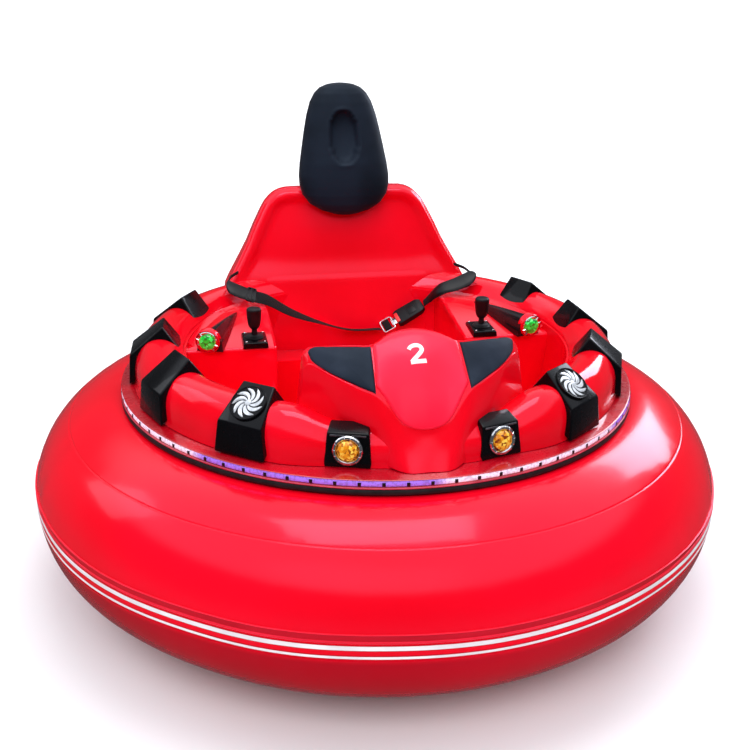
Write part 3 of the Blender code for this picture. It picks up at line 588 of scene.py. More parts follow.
strip_glow = Finish("light_strip_milky", Roughness=0.35, Emission_Strength=0.45)
around_place = strip_glow.nodes.new("ShaderNodeSeparateXYZ")
strip_glow.links.new(strip_glow.place, around_place.inputs["Vector"])
forward = strip_glow.math("MULTIPLY", around_place.outputs["Y"], -1.0)
turn_share = strip_glow.math("ARCTAN2", around_place.outputs["X"], forward)
turn_share = strip_glow.math("ADD", strip_glow.math("DIVIDE", turn_share, tau), 0.5)
PINK, VIOLET = (0.92, 0.74, 0.90), (0.34, 0.15, 0.78)
tint = strip_glow.ramp(turn_share, [(0.0, VIOLET), (0.245, VIOLET), (0.265, PINK), (0.362, PINK),
                                    (0.374, VIOLET), (0.500, VIOLET), (0.512, PINK), (0.620, PINK),
                                    (0.640, VIOLET), (1.0, VIOLET)])
grain = strip_glow.ramp(strip_glow.noise(160.0, 2.0), [(0.42, 0.62), (0.56, 1.0)])
speckled = strip_glow.blend(grain, (0.10, 0.05, 0.14), tint)
strip_glow.give("Base Color", speckled).give("Emission Color", speckled)

clip_black = Finish("black_clip", Roughness=0.4)
clip_black.tones((0.004, 0.003, 0.005), (0.010, 0.008, 0.012), 60.0)

# %% Rim pieces
gasket_low, gasket_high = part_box("tube_gasket")
led_low, led_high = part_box("led_strip")


def rounded(points, inset=0.0014):
    """Trim each corner of a closed (radius, height) outline."""
    outline = []
    for i, here in enumerate(points):
        for other in (points[i - 1], points[(i + 1) % len(points)]):
            run = Vector(other) - Vector(here)
            outline.append(Vector(here) + run.normalized() * min(inset, run.length * 0.4))
    return outline


GASKET = rounded([(LEDGE_INNER, gasket_low.z), (RIM + 0.001, gasket_low.z),
                  (RIM + 0.0045, gasket_low.z + 0.005), (RIM + 0.0015, gasket_high.z),
                  (LEDGE_INNER, gasket_high.z)])
settle("rim_gasket", ring(lambda angle: GASKET), gasket_rubber, stands_for=("tube_gasket",))

rail_face = RIM + 0.0022
RAIL = rounded([(LEDGE_INNER, RIM_LOW.z), (rail_face, RIM_LOW.z), (rail_face, led_low.z - 0.0008),
                (rail_face - 0.0042, led_low.z - 0.0004), (rail_face - 0.0042, led_high.z + 0.0004),
                (rail_face, led_high.z + 0.0006), (rail_face - 0.0004, RIM_HIGH.z - 0.0040),
                (rail_face - 0.0030, RIM_HIGH.z - 0.0030), (LEDGE_INNER, RIM_HIGH.z)], 0.0008)
settle("rim_rail", ring(lambda angle: RAIL), rail_pvc, stands_for=("light_rail",))

LIP = rounded([(rail_face - 0.002, RIM_LOW.z), (rail_face + 0.0016, RIM_LOW.z + 0.0008),
               (rail_face + 0.0016, RIM_LOW.z + 0.0040), (rail_face - 0.002, RIM_LOW.z + 0.0050)], 0.0008)
settle("rim_lip", ring(lambda angle: LIP), lip_pvc)

strip_mid = (led_low.z + led_high.z) / 2
STRIP = [(rail_face - 0.0036 + 0.0040 * max(0.0, cos(t)), strip_mid + 0.0072 * sin(t)) for t in
         (radians(d) for d in (-90, -60, -30, 0, 30, 60, 90, 135, 180, 225))]
settle("rim_light_strip", ring(lambda angle: STRIP), strip_glow, stands_for=("led_strip",))
print("rim pieces stand between", round(gasket_low.z, 4), "and", round(RIM_HIGH.z, 4))


# %% One node tree that sets a shape round a circle
def round_tree():
    """Sets copies of a shape evenly round a circle; the shape is drawn near the origin, facing +X."""
    tree = bpy.data.node_groups.new("set_round", "GeometryNodeTree")
    face = tree.interface
    face.new_socket("Geometry", in_out="OUTPUT", socket_type="NodeSocketGeometry")
    inputs = {}
    for label, kind in (("Shape", "NodeSocketObject"), ("Count", "NodeSocketInt"),
                        ("Radius", "NodeSocketFloat"), ("Start angle", "NodeSocketFloat"),
                        ("Finish", "NodeSocketMaterial")):
        inputs[label] = face.new_socket(label, in_out="INPUT", socket_type=kind).identifier
    nodes, links = tree.nodes, tree.links
    given, result = nodes.new("NodeGroupInput"), nodes.new("NodeGroupOutput")
    circle, shape = nodes.new("GeometryNodeMeshCircle"), nodes.new("GeometryNodeObjectInfo")
    place, whole = nodes.new("GeometryNodeInstanceOnPoints"), nodes.new("GeometryNodeRealizeInstances")
    dress, turn = nodes.new("GeometryNodeSetMaterial"), nodes.new("GeometryNodeTransform")
    index = nodes.new("GeometryNodeInputIndex")
    share, angle = nodes.new("ShaderNodeMath"), nodes.new("ShaderNodeMath")
    about, start = nodes.new("ShaderNodeCombineXYZ"), nodes.new("ShaderNodeCombineXYZ")
    share.operation, angle.operation = "DIVIDE", "MULTIPLY"
    angle.inputs[1].default_value = tau
    for source, output, target, socket in (
            (given, "Count", circle, "Vertices"), (given, "Radius", circle, "Radius"),
            (given, "Shape", shape, "Object"), (index, 0, share, 0), (given, "Count", share, 1),
            (share, 0, angle, 0), (angle, 0, about, "Z"), (circle, "Mesh", place, "Points"),
            (shape, "Geometry", place, "Instance"), (about, "Vector", place, "Rotation"),
            (place, "Instances", whole, "Geometry"), (given, "Start angle", start, "Z"),
            (whole, "Geometry", turn, "Geometry"), (start, "Vector", turn, "Rotation"),
            (turn, "Geometry", dress, "Geometry"), (given, "Finish", dress, "Material"),
            (dress, "Geometry", result, "Geometry")):
        links.new(source.outputs[output], target.inputs[socket])
    return tree, inputs


ROUND_TREE, ROUND_INPUTS = round_tree()


def set_round(name, shape, count, radius, finish, body="car_body", start=0.0, matrix=Matrix(),
              sharp=35):
    """Copies of a bmesh shape round a circle, as one plain mesh, moved by a matrix."""
    bmesh.ops.recalc_face_normals(shape, faces=shape.faces)
    mesh = bpy.data.meshes.new(name + "_shape")
    shape.to_mesh(mesh)
    shape.free()
    sample = bpy.data.objects.new(name + "_shape", mesh)
    holder = bpy.data.objects.new(name + "_holder", bpy.data.meshes.new(name + "_holder"))
    for thing in (sample, holder):
        bpy.context.collection.objects.link(thing)
    step = holder.modifiers.new("set_round", "NODES")
    step.node_group = ROUND_TREE
    values = {"Shape": sample, "Count": count, "Radius": radius, "Start angle": start,
              "Finish": finish.material}
    for label, value in values.items():
        step[ROUND_INPUTS[label]] = value
    bpy.context.view_layer.update()
    evaluated = holder.evaluated_get(bpy.context.evaluated_depsgraph_get())
    result = bpy.data.meshes.new_from_object(evaluated)
    holder.modifiers.remove(step)
    for thing in (holder, sample):
        bpy.data.objects.remove(thing)
    result.name = name
    result.transform(matrix)
    return settle_mesh(name, result, finish, body, sharp=sharp)


CLIPS = 80
clip = brick((-0.003, 0.0012), (-0.0042, 0.0042), (-0.0046, 0.0046), 0.001, 2)
set_round("rim_clips", clip, CLIPS, rail_face, clip_black,
          matrix=Matrix.Translation((0, 0, strip_mid - 0.0006)))
print(CLIPS, "clips,", round(tau * rail_face / CLIPS * 1000), "mm apart")

# %% [markdown]
# ## The ring cowl
#
# The cowl is one glossy moulding that rolls up from the ledge, over a crest and down to the tub. In front
# it sinks and steps back to let the nose through. The same measured outline as the frame's is drawn as a
# fair curve, given its wall thickness and carried round in fine steps, because this is the surface that
# mirrors the lamps.


# %% Cowl
def front_dip(angle):
    """1 across the nose, 0 from the fan lamps round the back."""
    away = abs((angle + pi) % tau - pi)
    return 1 - ease(radians(18), radians(31), away)


def cowl_outline(angle):
    """The outside from the skirt over the crest to the inner foot, before it is made fair."""
    dip = front_dip(angle)
    points = []
    for inset, rise in COWL_ROLL:
        radius = COWL_SKIRT - inset * COWL_SPREAD - dip * NOSE_SET_BACK * (1 - inset)
        points.append((radius, COWL_LOW.z + rise * (COWL_RISE - dip * NOSE_DROP)))
    points.append((COWL_FOOT, COWL_FOOT_TOP - dip * 0.012))
    return points


def cowl_line(angle):
    return [(p.x, p.y) for p in fair_line([(r, z, 0) for r, z in cowl_outline(angle)], 5)]


def cowl_section(angle):
    outside = cowl_line(angle)
    outside[0] = (outside[0][0] + 0.0030, outside[0][1] + 0.0002)
    outside.insert(1, (outside[0][0] - 0.0012, outside[0][1] + 0.0028))
    inside = []
    for i, (radius, height) in enumerate(outside):
        before, after = outside[max(i - 1, 0)], outside[min(i + 1, len(outside) - 1)]
        run = Vector((after[0] - before[0], after[1] - before[1])).normalized()
        inside.append((radius - run.y * WALL, max(height + run.x * WALL, COWL_LOW.z + 0.0002)))
    lip = [(COWL_FOOT + 0.0002, 0.6720), (COWL_FOOT + 0.0002, 0.6580), (COWL_FOOT + WALL, 0.6580)]
    return outside + lip + inside[::-1][1:]


cowl = settle("cowl_moulding", ring(cowl_section, COWL_STEPS), gelcoat,
              stands_for=("ring_cowl",), sharp=55)
print("cowl:", len(cowl.data.polygons), "faces")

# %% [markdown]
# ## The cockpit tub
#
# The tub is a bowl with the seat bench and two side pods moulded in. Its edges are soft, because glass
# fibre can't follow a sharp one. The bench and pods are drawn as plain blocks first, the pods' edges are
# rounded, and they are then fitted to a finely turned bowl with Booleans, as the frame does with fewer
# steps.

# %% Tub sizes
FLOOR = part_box("cockpit_tub")[0].z + WALL
TUB_RIM = 0.6797
TUB_RADIUS = COWL_FOOT - 0.0004
SEAT_FRONT, SEAT_PAN = (0.200, 0.560), (0.470, 0.500)
SEAT_HALF = 0.280
POD_FRONT, POD_REAR = (0.060, 0.658), (0.330, 0.682)
POD_SLOPE = (POD_REAR[1] - POD_FRONT[1]) / (POD_REAR[0] - POD_FRONT[0])
TUB_STEPS = 144
BACK_Y, BACK_Z, RAKE = 0.510, 0.6997, radians(17.1)


def back_plane(height):
    """How far back the front of the seat back lies at a height."""
    return BACK_Y + tan(RAKE) * (height - BACK_Z)


def bowl_radius(height):
    up = (min(height, 0.539) - TUBE_MID) / TUBE_HALF_HEIGHT
    inner = TUBE_RADIUS - TUBE_HALF_WIDTH * sqrt(max(0.0, 1 - up * up))
    return min(TUB_RADIUS, inner - 0.016)


def bowl_wall(inset, low):
    points = [(bowl_radius(TUBE_MID) - inset, low)]
    points += [(min(bowl_radius(z), TUB_RADIUS - 0.012) - inset, z)
               for z in (0.36, 0.42, 0.47, 0.505, 0.53)]
    return points + [(TUB_RADIUS - 0.002 - inset, TUB_RIM - 0.04)]


# %% Tub shapes
def slab(outline, low, high, bevel):
    """A (y, z) outline carried along X with its edges rounded."""
    bm = bmesh.new()
    face = bm.faces.new([bm.verts.new((low, y, z)) for y, z in outline])
    made = bmesh.ops.extrude_face_region(bm, geom=[face])
    moved = [item for item in made["geom"] if isinstance(item, bmesh.types.BMVert)]
    bmesh.ops.translate(bm, verts=moved, vec=(high - low, 0, 0))
    bmesh.ops.recalc_face_normals(bm, faces=bm.faces)
    return rounded_off(bm, bevel, 4)


def tool_object(name, bm):
    bmesh.ops.recalc_face_normals(bm, faces=bm.faces)
    mesh = bpy.data.meshes.new(name)
    bm.to_mesh(mesh)
    bm.free()
    made = bpy.data.objects.new(name, mesh)
    bpy.context.collection.objects.link(made)
    return made


def carve(target, *steps):
    """Apply Boolean steps of (operation, other, solver), remove the others, and return the plain mesh."""
    for operation, other, solver in steps:
        step = target.modifiers.new(operation, "BOOLEAN")
        step.operation, step.solver, step.object = operation, solver, other
    bpy.context.view_layer.update()
    result = bpy.data.meshes.new_from_object(target.evaluated_get(bpy.context.evaluated_depsgraph_get()))
    for thing in [target] + [other for operation, other, solver in steps]:
        bpy.data.objects.remove(thing)
    return result


def seating(label, inset, low, bevel):
    """Bench and both pods as one block."""
    back_top = (back_plane(POD_REAR[1]) + inset, POD_REAR[1] - inset)
    bench = [(SEAT_FRONT[0] + inset, low), (SEAT_FRONT[0] + inset, SEAT_FRONT[1] - inset),
             (SEAT_PAN[0] + inset * 0.5, SEAT_PAN[1] - inset), back_top, (0.7, back_top[1]), (0.7, low)]
    pod = [(POD_FRONT[0] + inset, low - 0.01),
           (POD_FRONT[0] + inset, POD_FRONT[1] - inset + POD_SLOPE * inset),
           (POD_REAR[0], POD_REAR[1] - inset), (0.68, POD_REAR[1] - inset), (0.68, low - 0.01)]
    inner = SEAT_HALF + inset
    block = tool_object(label, slab(bench, -inner - 0.02, inner + 0.02, 0.0))
    pods = []
    for sign in (-1, 1):
        low_x, high_x = sorted((sign * inner, sign * 0.7))
        pods.append(tool_object(label + "_pod%d" % sign, slab(pod, low_x, high_x, bevel)))
    whole = carve(block, *[("UNION", other, "EXACT") for other in pods])
    return tool_object(label + "_all", bmesh_of(whole))


def bmesh_of(mesh):
    bm = bmesh.new()
    bm.from_mesh(mesh)
    return bm


# %% The tub
def spun_space(inset, low, high):
    return turned([(0, low)] + bowl_wall(inset, low) + [(TUB_RADIUS - inset, high), (0, high)], TUB_STEPS)


shell_wall = bowl_wall(0.0, FLOOR - WALL) + [(TUB_RADIUS, TUB_RIM), (TUB_RADIUS - WALL, TUB_RIM)]
shell = [(0, FLOOR - WALL)] + shell_wall + bowl_wall(WALL, FLOOR)[::-1] + [(0, FLOOR)]
tub = tool_object("tub_shell", turned(shell, TUB_STEPS))
inside = carve(tool_object("tub_inside", spun_space(WALL / 2, FLOOR - WALL / 2, TUB_RIM + 0.05)),
               ("INTERSECT", seating("seating", 0.0, FLOOR - 0.05, 0.009), "EXACT"))
under = carve(tool_object("tub_under", spun_space(WALL, FLOOR - 0.03, TUB_RIM + 0.06)),
              ("INTERSECT", seating("hollow", WALL, FLOOR - 0.02, 0.0), "EXACT"))
tub_mesh = carve(tub, ("UNION", tool_object("tub_block", bmesh_of(inside)), "MANIFOLD"),
                 ("DIFFERENCE", tool_object("tub_hollow", bmesh_of(under)), "MANIFOLD"))
tub_bm = bmesh_of(tub_mesh)
bmesh.ops.remove_doubles(tub_bm, verts=tub_bm.verts, dist=1e-5)
settle("tub_moulding", tub_bm, gelcoat, stands_for=("cockpit_tub",), sharp=32, outward=False)


# %% Soft joins where pods and cowl meet
def pod_deck(y):
    return min(POD_REAR[1], POD_FRONT[1] + POD_SLOPE * (y - POD_FRONT[0]))


def deck_fillet(label, sign):
    """The hollow corner that runs from the cowl's foot down on to the pod's deck."""
    loops = []
    outer, inner, top = COWL_FOOT + WALL, 0.516, 0.6885
    for step in range(41):
        angle = sign * radians(100 + 46 * step / 40)
        low = pod_deck(-inner * cos(angle)) - 0.0006
        rows = []
        for k in range(9):
            t = k / 8
            radius = outer + (inner - outer) * t
            rows.append(from_front(radius, angle, low + (top - low) * (1 - sin(t * pi / 2)) ** 1.15))
        rows += [from_front(inner, angle, low - 0.003), from_front(outer, angle, low - 0.003)]
        loops.append(rows)
    settle("deck_fillet_" + label, loft(loops), gelcoat, sharp=60)


for label, sign in SIDES:
    deck_fillet(label, sign)

# %% [markdown]
# ## The nose console
#
# The console is the sculpted piece in front of the rider: a crowned shield in the middle, a dark pad on
# each side under a level brow, and a keel that runs down between the front lamps. It is one fair surface
# through a net of measured points, seven stations from the middle to the wing tip. Shield and pads are
# patches of that same surface lifted a few millimetres, so that they fit it everywhere.

# %% Console surface
STATION_X = (0.0, 0.055, 0.104, 0.150, 0.205, 0.250, 0.266)
NET = (
    ((-.450, .655), (-.453, .855), (-.462, .8690), (-.490, .8675), (-.545, .829),
     (-.600, .770), (-.640, .704), (-.650, .680), (-.668, .648), (-.694, .6030)),
    ((-.457, .655), (-.460, .848), (-.469, .8625), (-.496, .8600), (-.545, .824),
     (-.596, .768), (-.634, .712), (-.646, .690), (-.664, .652), (-.690, .6030)),
    ((-.486, .655), (-.489, .834), (-.495, .8455), (-.508, .8480), (-.545, .822),
     (-.580, .794), (-.611, .767), (-.622, .748), (-.638, .700), (-.648, .6120)),
    ((-.478, .655), (-.481, .832), (-.487, .8430), (-.499, .8450), (-.528, .826),
     (-.555, .804), (-.580, .783), (-.590, .766), (-.603, .700), (-.602, .640)),
    ((-.462, .655), (-.465, .828), (-.471, .8400), (-.482, .8420), (-.502, .832),
     (-.522, .817), (-.541, .801), (-.550, .787), (-.554, .700), (-.550, .640)),
    ((-.444, .655), (-.447, .821), (-.453, .8330), (-.464, .8360), (-.472, .831),
     (-.481, .823), (-.491, .812), (-.498, .798), (-.504, .700), (-.504, .640)),
    ((-.444, .655), (-.449, .808), (-.455, .8150), (-.460, .8170), (-.464, .813),
     (-.469, .805), (-.476, .795), (-.481, .780), (-.488, .700), (-.491, .640)),
)
WING_FLARE = 0.016
STATIONS = [Vector((x, 0, 0)) for x in STATION_X]
U_TABLE = [(fair([Vector((-STATION_X[1], 0, 0))] + STATIONS, 1 + i / 40).x, i / 40) for i in range(241)]


def station_of(x):
    """The fractional station index at a distance from the middle."""
    x = abs(x)
    for (x0, u0), (x1, u1) in zip(U_TABLE, U_TABLE[1:]):
        if x <= x1:
            return u0 + (u1 - u0) * max(0.0, x - x0) / max(1e-9, x1 - x0)
    return 6.0


def mirrored(row, u):
    """Row of (y, z) through all stations, even about the middle."""
    spread = [row[abs(k)] for k in range(-2, 7)]
    return fair(spread, u + 2)


ROWS = [[Vector((NET[i][j][0], NET[i][j][1], 0)) for i in range(7)] for j in range(10)]


def flare(x, height):
    """The wing tips lean outwards towards their feet."""
    share = min(1.0, abs(x) / STATION_X[-1]) ** 6
    return WING_FLARE * share * max(0.0, 0.836 - height) / 0.14 * (1 if x > 0 else -1)


def console_column(x):
    u = station_of(x)
    return [mirrored(row, u) for row in ROWS]


def console_point(x, j, column=None):
    """The place on the console at a distance from the middle and a fractional row."""
    spot = fair(column or console_column(x), j)
    return Vector((x + flare(x, spot.y), spot.x, spot.y))


def console_normal(x, j):
    here = 0.002
    along = console_point(x + here, j) - console_point(x - here, j)
    down = console_point(x, min(8.99, j + 0.03)) - console_point(x, max(0.0, j - 0.03))
    normal = along.cross(down).normalized()
    return normal if normal.y < 0 or normal.z > 0.9 else -normal


# %% Console body
CONSOLE_X = [k / 60 * STATION_X[-1] for k in range(-60, 61)]
CONSOLE_J = [k / 8 for k in range(0, 73)]
profile_loops = []
for x in CONSOLE_X:
    column = console_column(x)
    profile_loops.append([console_point(x, j, column) for j in CONSOLE_J])
console = settle("console_moulding", loft(profile_loops), gelcoat,
                 stands_for=("nose_console",), sharp=50)
print("console:", len(console.data.polygons), "faces")


# %% Patches of the console
PATCH_RINGS = 16


def patch(name, outline, centre, edge, crown, roll, finish, stands_for=()):
    """A closed plate that lies on the console: outline and centre are (x, row) places on it."""
    top = []
    for k in range(1, PATCH_RINGS + 1):
        s = 1 - (1 - k / PATCH_RINGS) ** 1.6
        lift = edge + crown * (1 - s * s) - roll * max(0.0, (s - 0.93) / 0.07) ** 2
        row = [(centre[0] + (x - centre[0]) * s, centre[1] + (j - centre[1]) * s) for x, j in outline]
        top.append([console_point(x, j) + console_normal(x, j) * lift for x, j in row])
    skirt = [console_point(x, j) - console_normal(x, j) * 0.004 for x, j in outline]
    bm = bmesh.new()
    middle = bm.verts.new(console_point(*centre) + console_normal(*centre) * (edge + crown))
    under = bm.verts.new(console_point(*centre) - console_normal(*centre) * 0.010)
    loops = [[bm.verts.new(p) for p in row] for row in top + [skirt]]
    count = len(outline)
    for i in range(count):
        j = (i + 1) % count
        bm.faces.new((middle, loops[0][i], loops[0][j]))
        bm.faces.new((under, loops[-1][j], loops[-1][i]))
        for here, there in zip(loops, loops[1:]):
            bm.faces.new((here[i], there[i], there[j], here[j]))
    return settle(name, bm, finish, stands_for=stands_for, sharp=42)


def closed_fair(points, per_span):
    """A fair closed curve through (x, row) points; a doubled point makes a corner."""
    count = len(points)
    line = []
    for i in range(count):
        p = [Vector((*points[(i + k) % count], 0)) for k in (-1, 0, 1, 2)]
        if (p[2] - p[1]).length < 1e-6:
            continue
        for k in range(per_span):
            spot = spline(p, k / per_span)
            line.append((spot.x, spot.y))
    return line


right_edge = [(0.040, 2.14), (0.078, 2.34), (0.1015, 2.70), (0.1045, 2.80), (0.1060, 3.6), (0.1085, 4.7),
              (0.1110, 5.35), (0.1085, 5.62), (0.0930, 5.88), (0.0660, 6.14), (0.0340, 6.36),
              (0.0060, 6.50)]
shield_outline = closed_fair([(0.0, 2.06)] + right_edge + [(-x, j) for x, j in right_edge[::-1]], 8)
patch("console_shield", shield_outline, (0.0, 4.4), 0.0050, 0.0045, 0.0052, dome_coat)

pad_foam = Finish("charcoal_pad", Specular_IOR_Level=0.25, Specular_Tint=(0.60, 0.78, 1.0, 1.0))
pad_foam.tones((0.0060, 0.0085, 0.0160), (0.0170, 0.0220, 0.0360), 9.0, 4.0)
pad_foam.gloss(14.0, 5.0, 0.42, 0.62)
pad_foam.grain(700.0, 2.0, 0.18, 0.0006)
for label, sign in SIDES:
    edge = [(0.1085, 2.80), (0.1085, 2.80), (0.150, 2.72), (0.205, 2.70), (0.240, 2.80), (0.2530, 3.3),
            (0.2520, 4.6), (0.243, 5.75), (0.205, 6.10), (0.160, 6.12), (0.1140, 6.12), (0.1140, 6.12)]
    outline = closed_fair([(sign * x, j) for x, j in edge], 8)
    patch("console_pad_skin_" + label, outline, (sign * 0.172, 4.5), 0.0040, 0.0030, 0.0036, pad_foam,
          stands_for=("console_pad_" + label,))


# %% Number on the shield
number_white = Finish("white_number", Coat_Weight=0.4, Coat_Roughness=0.2)
number_white.tones((0.90, 0.84, 0.85), (0.98, 0.95, 0.95), 20.0)
number_white.gloss(60.0, 3.0, 0.3, 0.45)


def stroke(points, half):
    """Left and right edges of a round-cornered stroke along (across, up) points."""
    line = fair_line([(a, b, 0) for a, b in points], 8)
    left, right = [], []
    for i, p in enumerate(line):
        run = (line[min(i + 1, len(line) - 1)] - line[max(i - 1, 0)]).normalized()
        side = Vector((-run.y, run.x, 0)) * half
        left.append(p + side)
        right.append(p - side)
    return left, right


NUMBER_X, NUMBER_ROW, ROW_HEIGHT = -0.004, 4.02, 0.0665
NUMBER_WIDTH, NUMBER_HEIGHT, NUMBER_RISE = 0.92, 0.76, 0.0085
STROKE_SECTION = ((0.0, 0.0080), (0.04, 0.0106), (0.5, 0.0110), (0.96, 0.0106), (1.0, 0.0080))


def on_shield(across, up, lift):
    """A place on the shield: across in X, up along the face, from the number's middle."""
    x = NUMBER_X + across
    j = NUMBER_ROW - up / ROW_HEIGHT
    return console_point(x, j) + console_normal(x, j) * lift


def number_two():
    bm = bmesh.new()
    body = [(-0.0195, 0.0165), (-0.0150, 0.0235), (-0.0050, 0.0275), (0.0070, 0.0255), (0.0130, 0.0170),
            (0.0110, 0.0080), (0.0010, -0.0045), (-0.0090, -0.0145), (-0.0170, -0.0225)]
    foot = [(-0.0190, -0.0225), (-0.0050, -0.0228), (0.0080, -0.0225), (0.0200, -0.0215)]
    for points, half in ((body, 0.0050), (foot, 0.0048)):
        left, right = stroke([(NUMBER_WIDTH * x, NUMBER_HEIGHT * y + NUMBER_RISE) for x, y in points], half)
        rows = []
        for a, b in zip(left, right):
            rows.append([bm.verts.new(on_shield(a.x + (b.x - a.x) * t, a.y + (b.y - a.y) * t, lift))
                         for t, lift in STROKE_SECTION])
        for here, there in zip(rows, rows[1:]):
            for i in range(4):
                bm.faces.new((here[i], there[i], there[i + 1], here[i + 1]))
            bm.faces.new((here[4], there[4], there[0], here[0]))
        bm.faces.new(rows[0])
        bm.faces.new(rows[-1][::-1])
    return bm


settle("shield_number", number_two(), number_white, sharp=40)
print("console patches and number are on")

# %% [markdown]
# ## Saddle blocks
#
# Ten glossy black blocks sit astride the cowl. Each is one convex block with a rounded edge, cut away
# underneath to the cowl's own curve, so it hugs the paint. The four front ones carry lamps.

# %% Block finish and the space under the blocks
block_gloss = Finish("black_block_gloss", Coat_Weight=0.45, Coat_Roughness=0.04, Coat_IOR=1.35,
                     Specular_IOR_Level=0.10)
block_gloss.tones((0.0010, 0.0010, 0.0016), (0.0030, 0.0030, 0.0042), 7.0)
block_gloss.gloss(24.0, 5.0, 0.18, 0.36)
block_gloss.grain(46.0, 2.0, 0.05, 0.002)
block_gloss.grain(7.0, 1.0, 0.12, 0.004)


AIR = 0.0006


def cowl_space_section(angle):
    """The cowl's outside with a hair of air, closed underneath; a block is cut away to it."""
    outside = [(r + (AIR if i < 12 else 0), z + AIR) for i, (r, z) in enumerate(cowl_line(angle))]
    inner_edge = [(COWL_FOOT - 2 * AIR, TUB_RIM + AIR), (0.539, TUB_RIM + AIR), (0.536, 0.560)]
    return [(outside[0][0], 0.560)] + outside + inner_edge


cowl_space = tool_object("cowl_space", ring(cowl_space_section, COWL_STEPS))
BLOCK_SHOULDER = 0.6032 + 0.083


def block_points(profile, half_widths, angle):
    points = []
    for (radius, height), half in zip(profile, half_widths):
        for sign in (-1, 1):
            points.append(from_front(radius, angle, height) + from_front(half, angle + sign * pi / 2, 0.0))
    return points


SADDLE = ((0.6962, COWL_LOW.z + 0.0004), (0.6912, BLOCK_SHOULDER), (0.5998, 0.7597), (0.5508, 0.6897))
SADDLE_WIDTHS = (0.072, 0.062, 0.045, 0.056)
FRONT_BLOCK = ((0.6698, COWL_LOW.z + 0.0004), (0.6578, BLOCK_SHOULDER), (0.6118, 0.7000), (0.5888, 0.6632))
FRONT_WIDTHS = (0.057, 0.050, 0.047, 0.047)


LAMP_TURN, FAN_TURN = radians(16.2), radians(38.5)
SADDLE_TURNS = (("fan_block", FAN_TURN), ("side_block_front", radians(67.0)),
                ("side_block_middle", radians(93.0)), ("side_block_rear", radians(119.5)))


def saddle_block(label, side, angle, profile, widths, bevel):
    name = label + "_body_" + side
    block = tool_object(name + "_raw", hull(block_points(profile, widths, angle), bevel, 4))
    copy = cowl_space.copy()
    copy.data = cowl_space.data.copy()
    bpy.context.collection.objects.link(copy)
    bm = bmesh_of(carve(block, ("DIFFERENCE", copy, "EXACT")))
    loose = [v for v in bm.verts if not v.link_faces]
    bmesh.ops.delete(bm, geom=loose, context="VERTS")
    return settle(name, bm, block_gloss, stands_for=(label + "_" + side,), sharp=28)


blocks = []
for side, sign in SIDES:
    for label, turn in SADDLE_TURNS:
        blocks.append(saddle_block(label, side, sign * turn, SADDLE, SADDLE_WIDTHS, 0.0045))
    blocks.append(saddle_block("lamp_block", side, sign * LAMP_TURN, FRONT_BLOCK, FRONT_WIDTHS, 0.0035))
bpy.data.objects.remove(cowl_space)
print(len(blocks), "blocks,", sum(len(b.data.polygons) for b in blocks), "faces")


# %% Grey lip on the front blocks
lip_grey = Finish("grey_worn_lip", Specular_IOR_Level=0.6)
lip_grey.tones((0.010, 0.010, 0.014), (0.055, 0.055, 0.065), 40.0)
lip_grey.gloss(60.0, 4.0, 0.22, 0.45)
LIP_SECTION = ((0.0, -0.004), (0.0052, -0.004), (0.0, 0.0022), (0.0042, 0.0030))


def placed(profile, low, high, angle, share, away=0.0):
    """The matrix whose Z leaves a block's face and whose origin lies part of the way up it."""
    (r0, z0), (r1, z1) = profile[low], profile[high]
    length = hypot(r1 - r0, z1 - z0)
    out = from_front((z1 - z0) / length, angle, -(r1 - r0) / length)
    up = from_front((r1 - r0) / length, angle, (z1 - z0) / length)
    side = up.cross(out)
    centre = from_front(r0 + (r1 - r0) * share, angle, z0 + (z1 - z0) * share) + out * away
    return Matrix.Translation(centre) @ Matrix((side, up, out)).transposed().to_4x4()


for side, sign in SIDES:
    lip = hull([(x, y, z) for x in (-0.043, 0.043) for y, z in LIP_SECTION], 0.0012, 2)
    spot = placed(FRONT_BLOCK, 0, 1, sign * LAMP_TURN, 0.905)
    settle("lamp_block_lip_" + side, moved(lip, spot), lip_grey, sharp=50)

# %% [markdown]
# ## Lamps
#
# Amber lamps glow in the front blocks behind scalloped chrome bezels, turbine-shaped reflectors lie on the
# next pair, and green lamps look out of the pods. Cut-glass lenses are drawn with flat facets, because the
# flat faces are what makes them sparkle, and their colour adds painted sparkle: small cells of light and
# dark tone. The bezel's scallops, the turbine's blades and the star's points each repeat round a circle, so
# the same node tree sets them.

# %% Lamp finishes
chrome = Finish("chrome_bezel", Metallic=1.0)
chrome.tones((0.70, 0.71, 0.73), (0.92, 0.92, 0.94), 60.0)
chrome.gloss(90.0, 3.0, 0.05, 0.18)

blade_silver = Finish("silver_blade", Metallic=0.35, Coat_Weight=0.4)
blade_silver.tones((0.55, 0.57, 0.60), (0.86, 0.88, 0.92), 70.0)
blade_silver.gloss(120.0, 3.0, 0.22, 0.42)
blade_silver.grain(220.0, 2.0, 0.10, 0.0008)


def lens_finish(name, dark, middle, light, glow):
    lens = Finish(name, Coat_Weight=1.0, Coat_Roughness=0.02, Roughness=0.08, IOR=1.49,
                  Emission_Strength=glow)
    # The cells paint sparkle: each small cell takes a tone from dark to light, standing in for the glints
    # and dark facets of cut glass; the same tone glows, and the cell edges give a small bump.
    sparkle_cells = lens.nodes.new("ShaderNodeTexVoronoi")
    sparkle_cells.inputs["Scale"].default_value = 150.0
    lens.links.new(lens.place, sparkle_cells.inputs["Vector"])
    tone = lens.ramp(sparkle_cells.outputs["Color"], [(0.15, dark), (0.5, middle), (0.9, light)])
    lens.give("Base Color", tone).give("Emission Color", tone)
    lens.bump(sparkle_cells.outputs["Distance"], 0.5, 0.002)
    return lens


amber = lens_finish("amber_lens", (0.22, 0.035, 0.001), (0.78, 0.27, 0.004), (1.0, 0.74, 0.10), 0.12)
green = lens_finish("green_lens", (0.0005, 0.16, 0.012), (0.001, 0.58, 0.035), (0.05, 1.0, 0.15), 0.28)


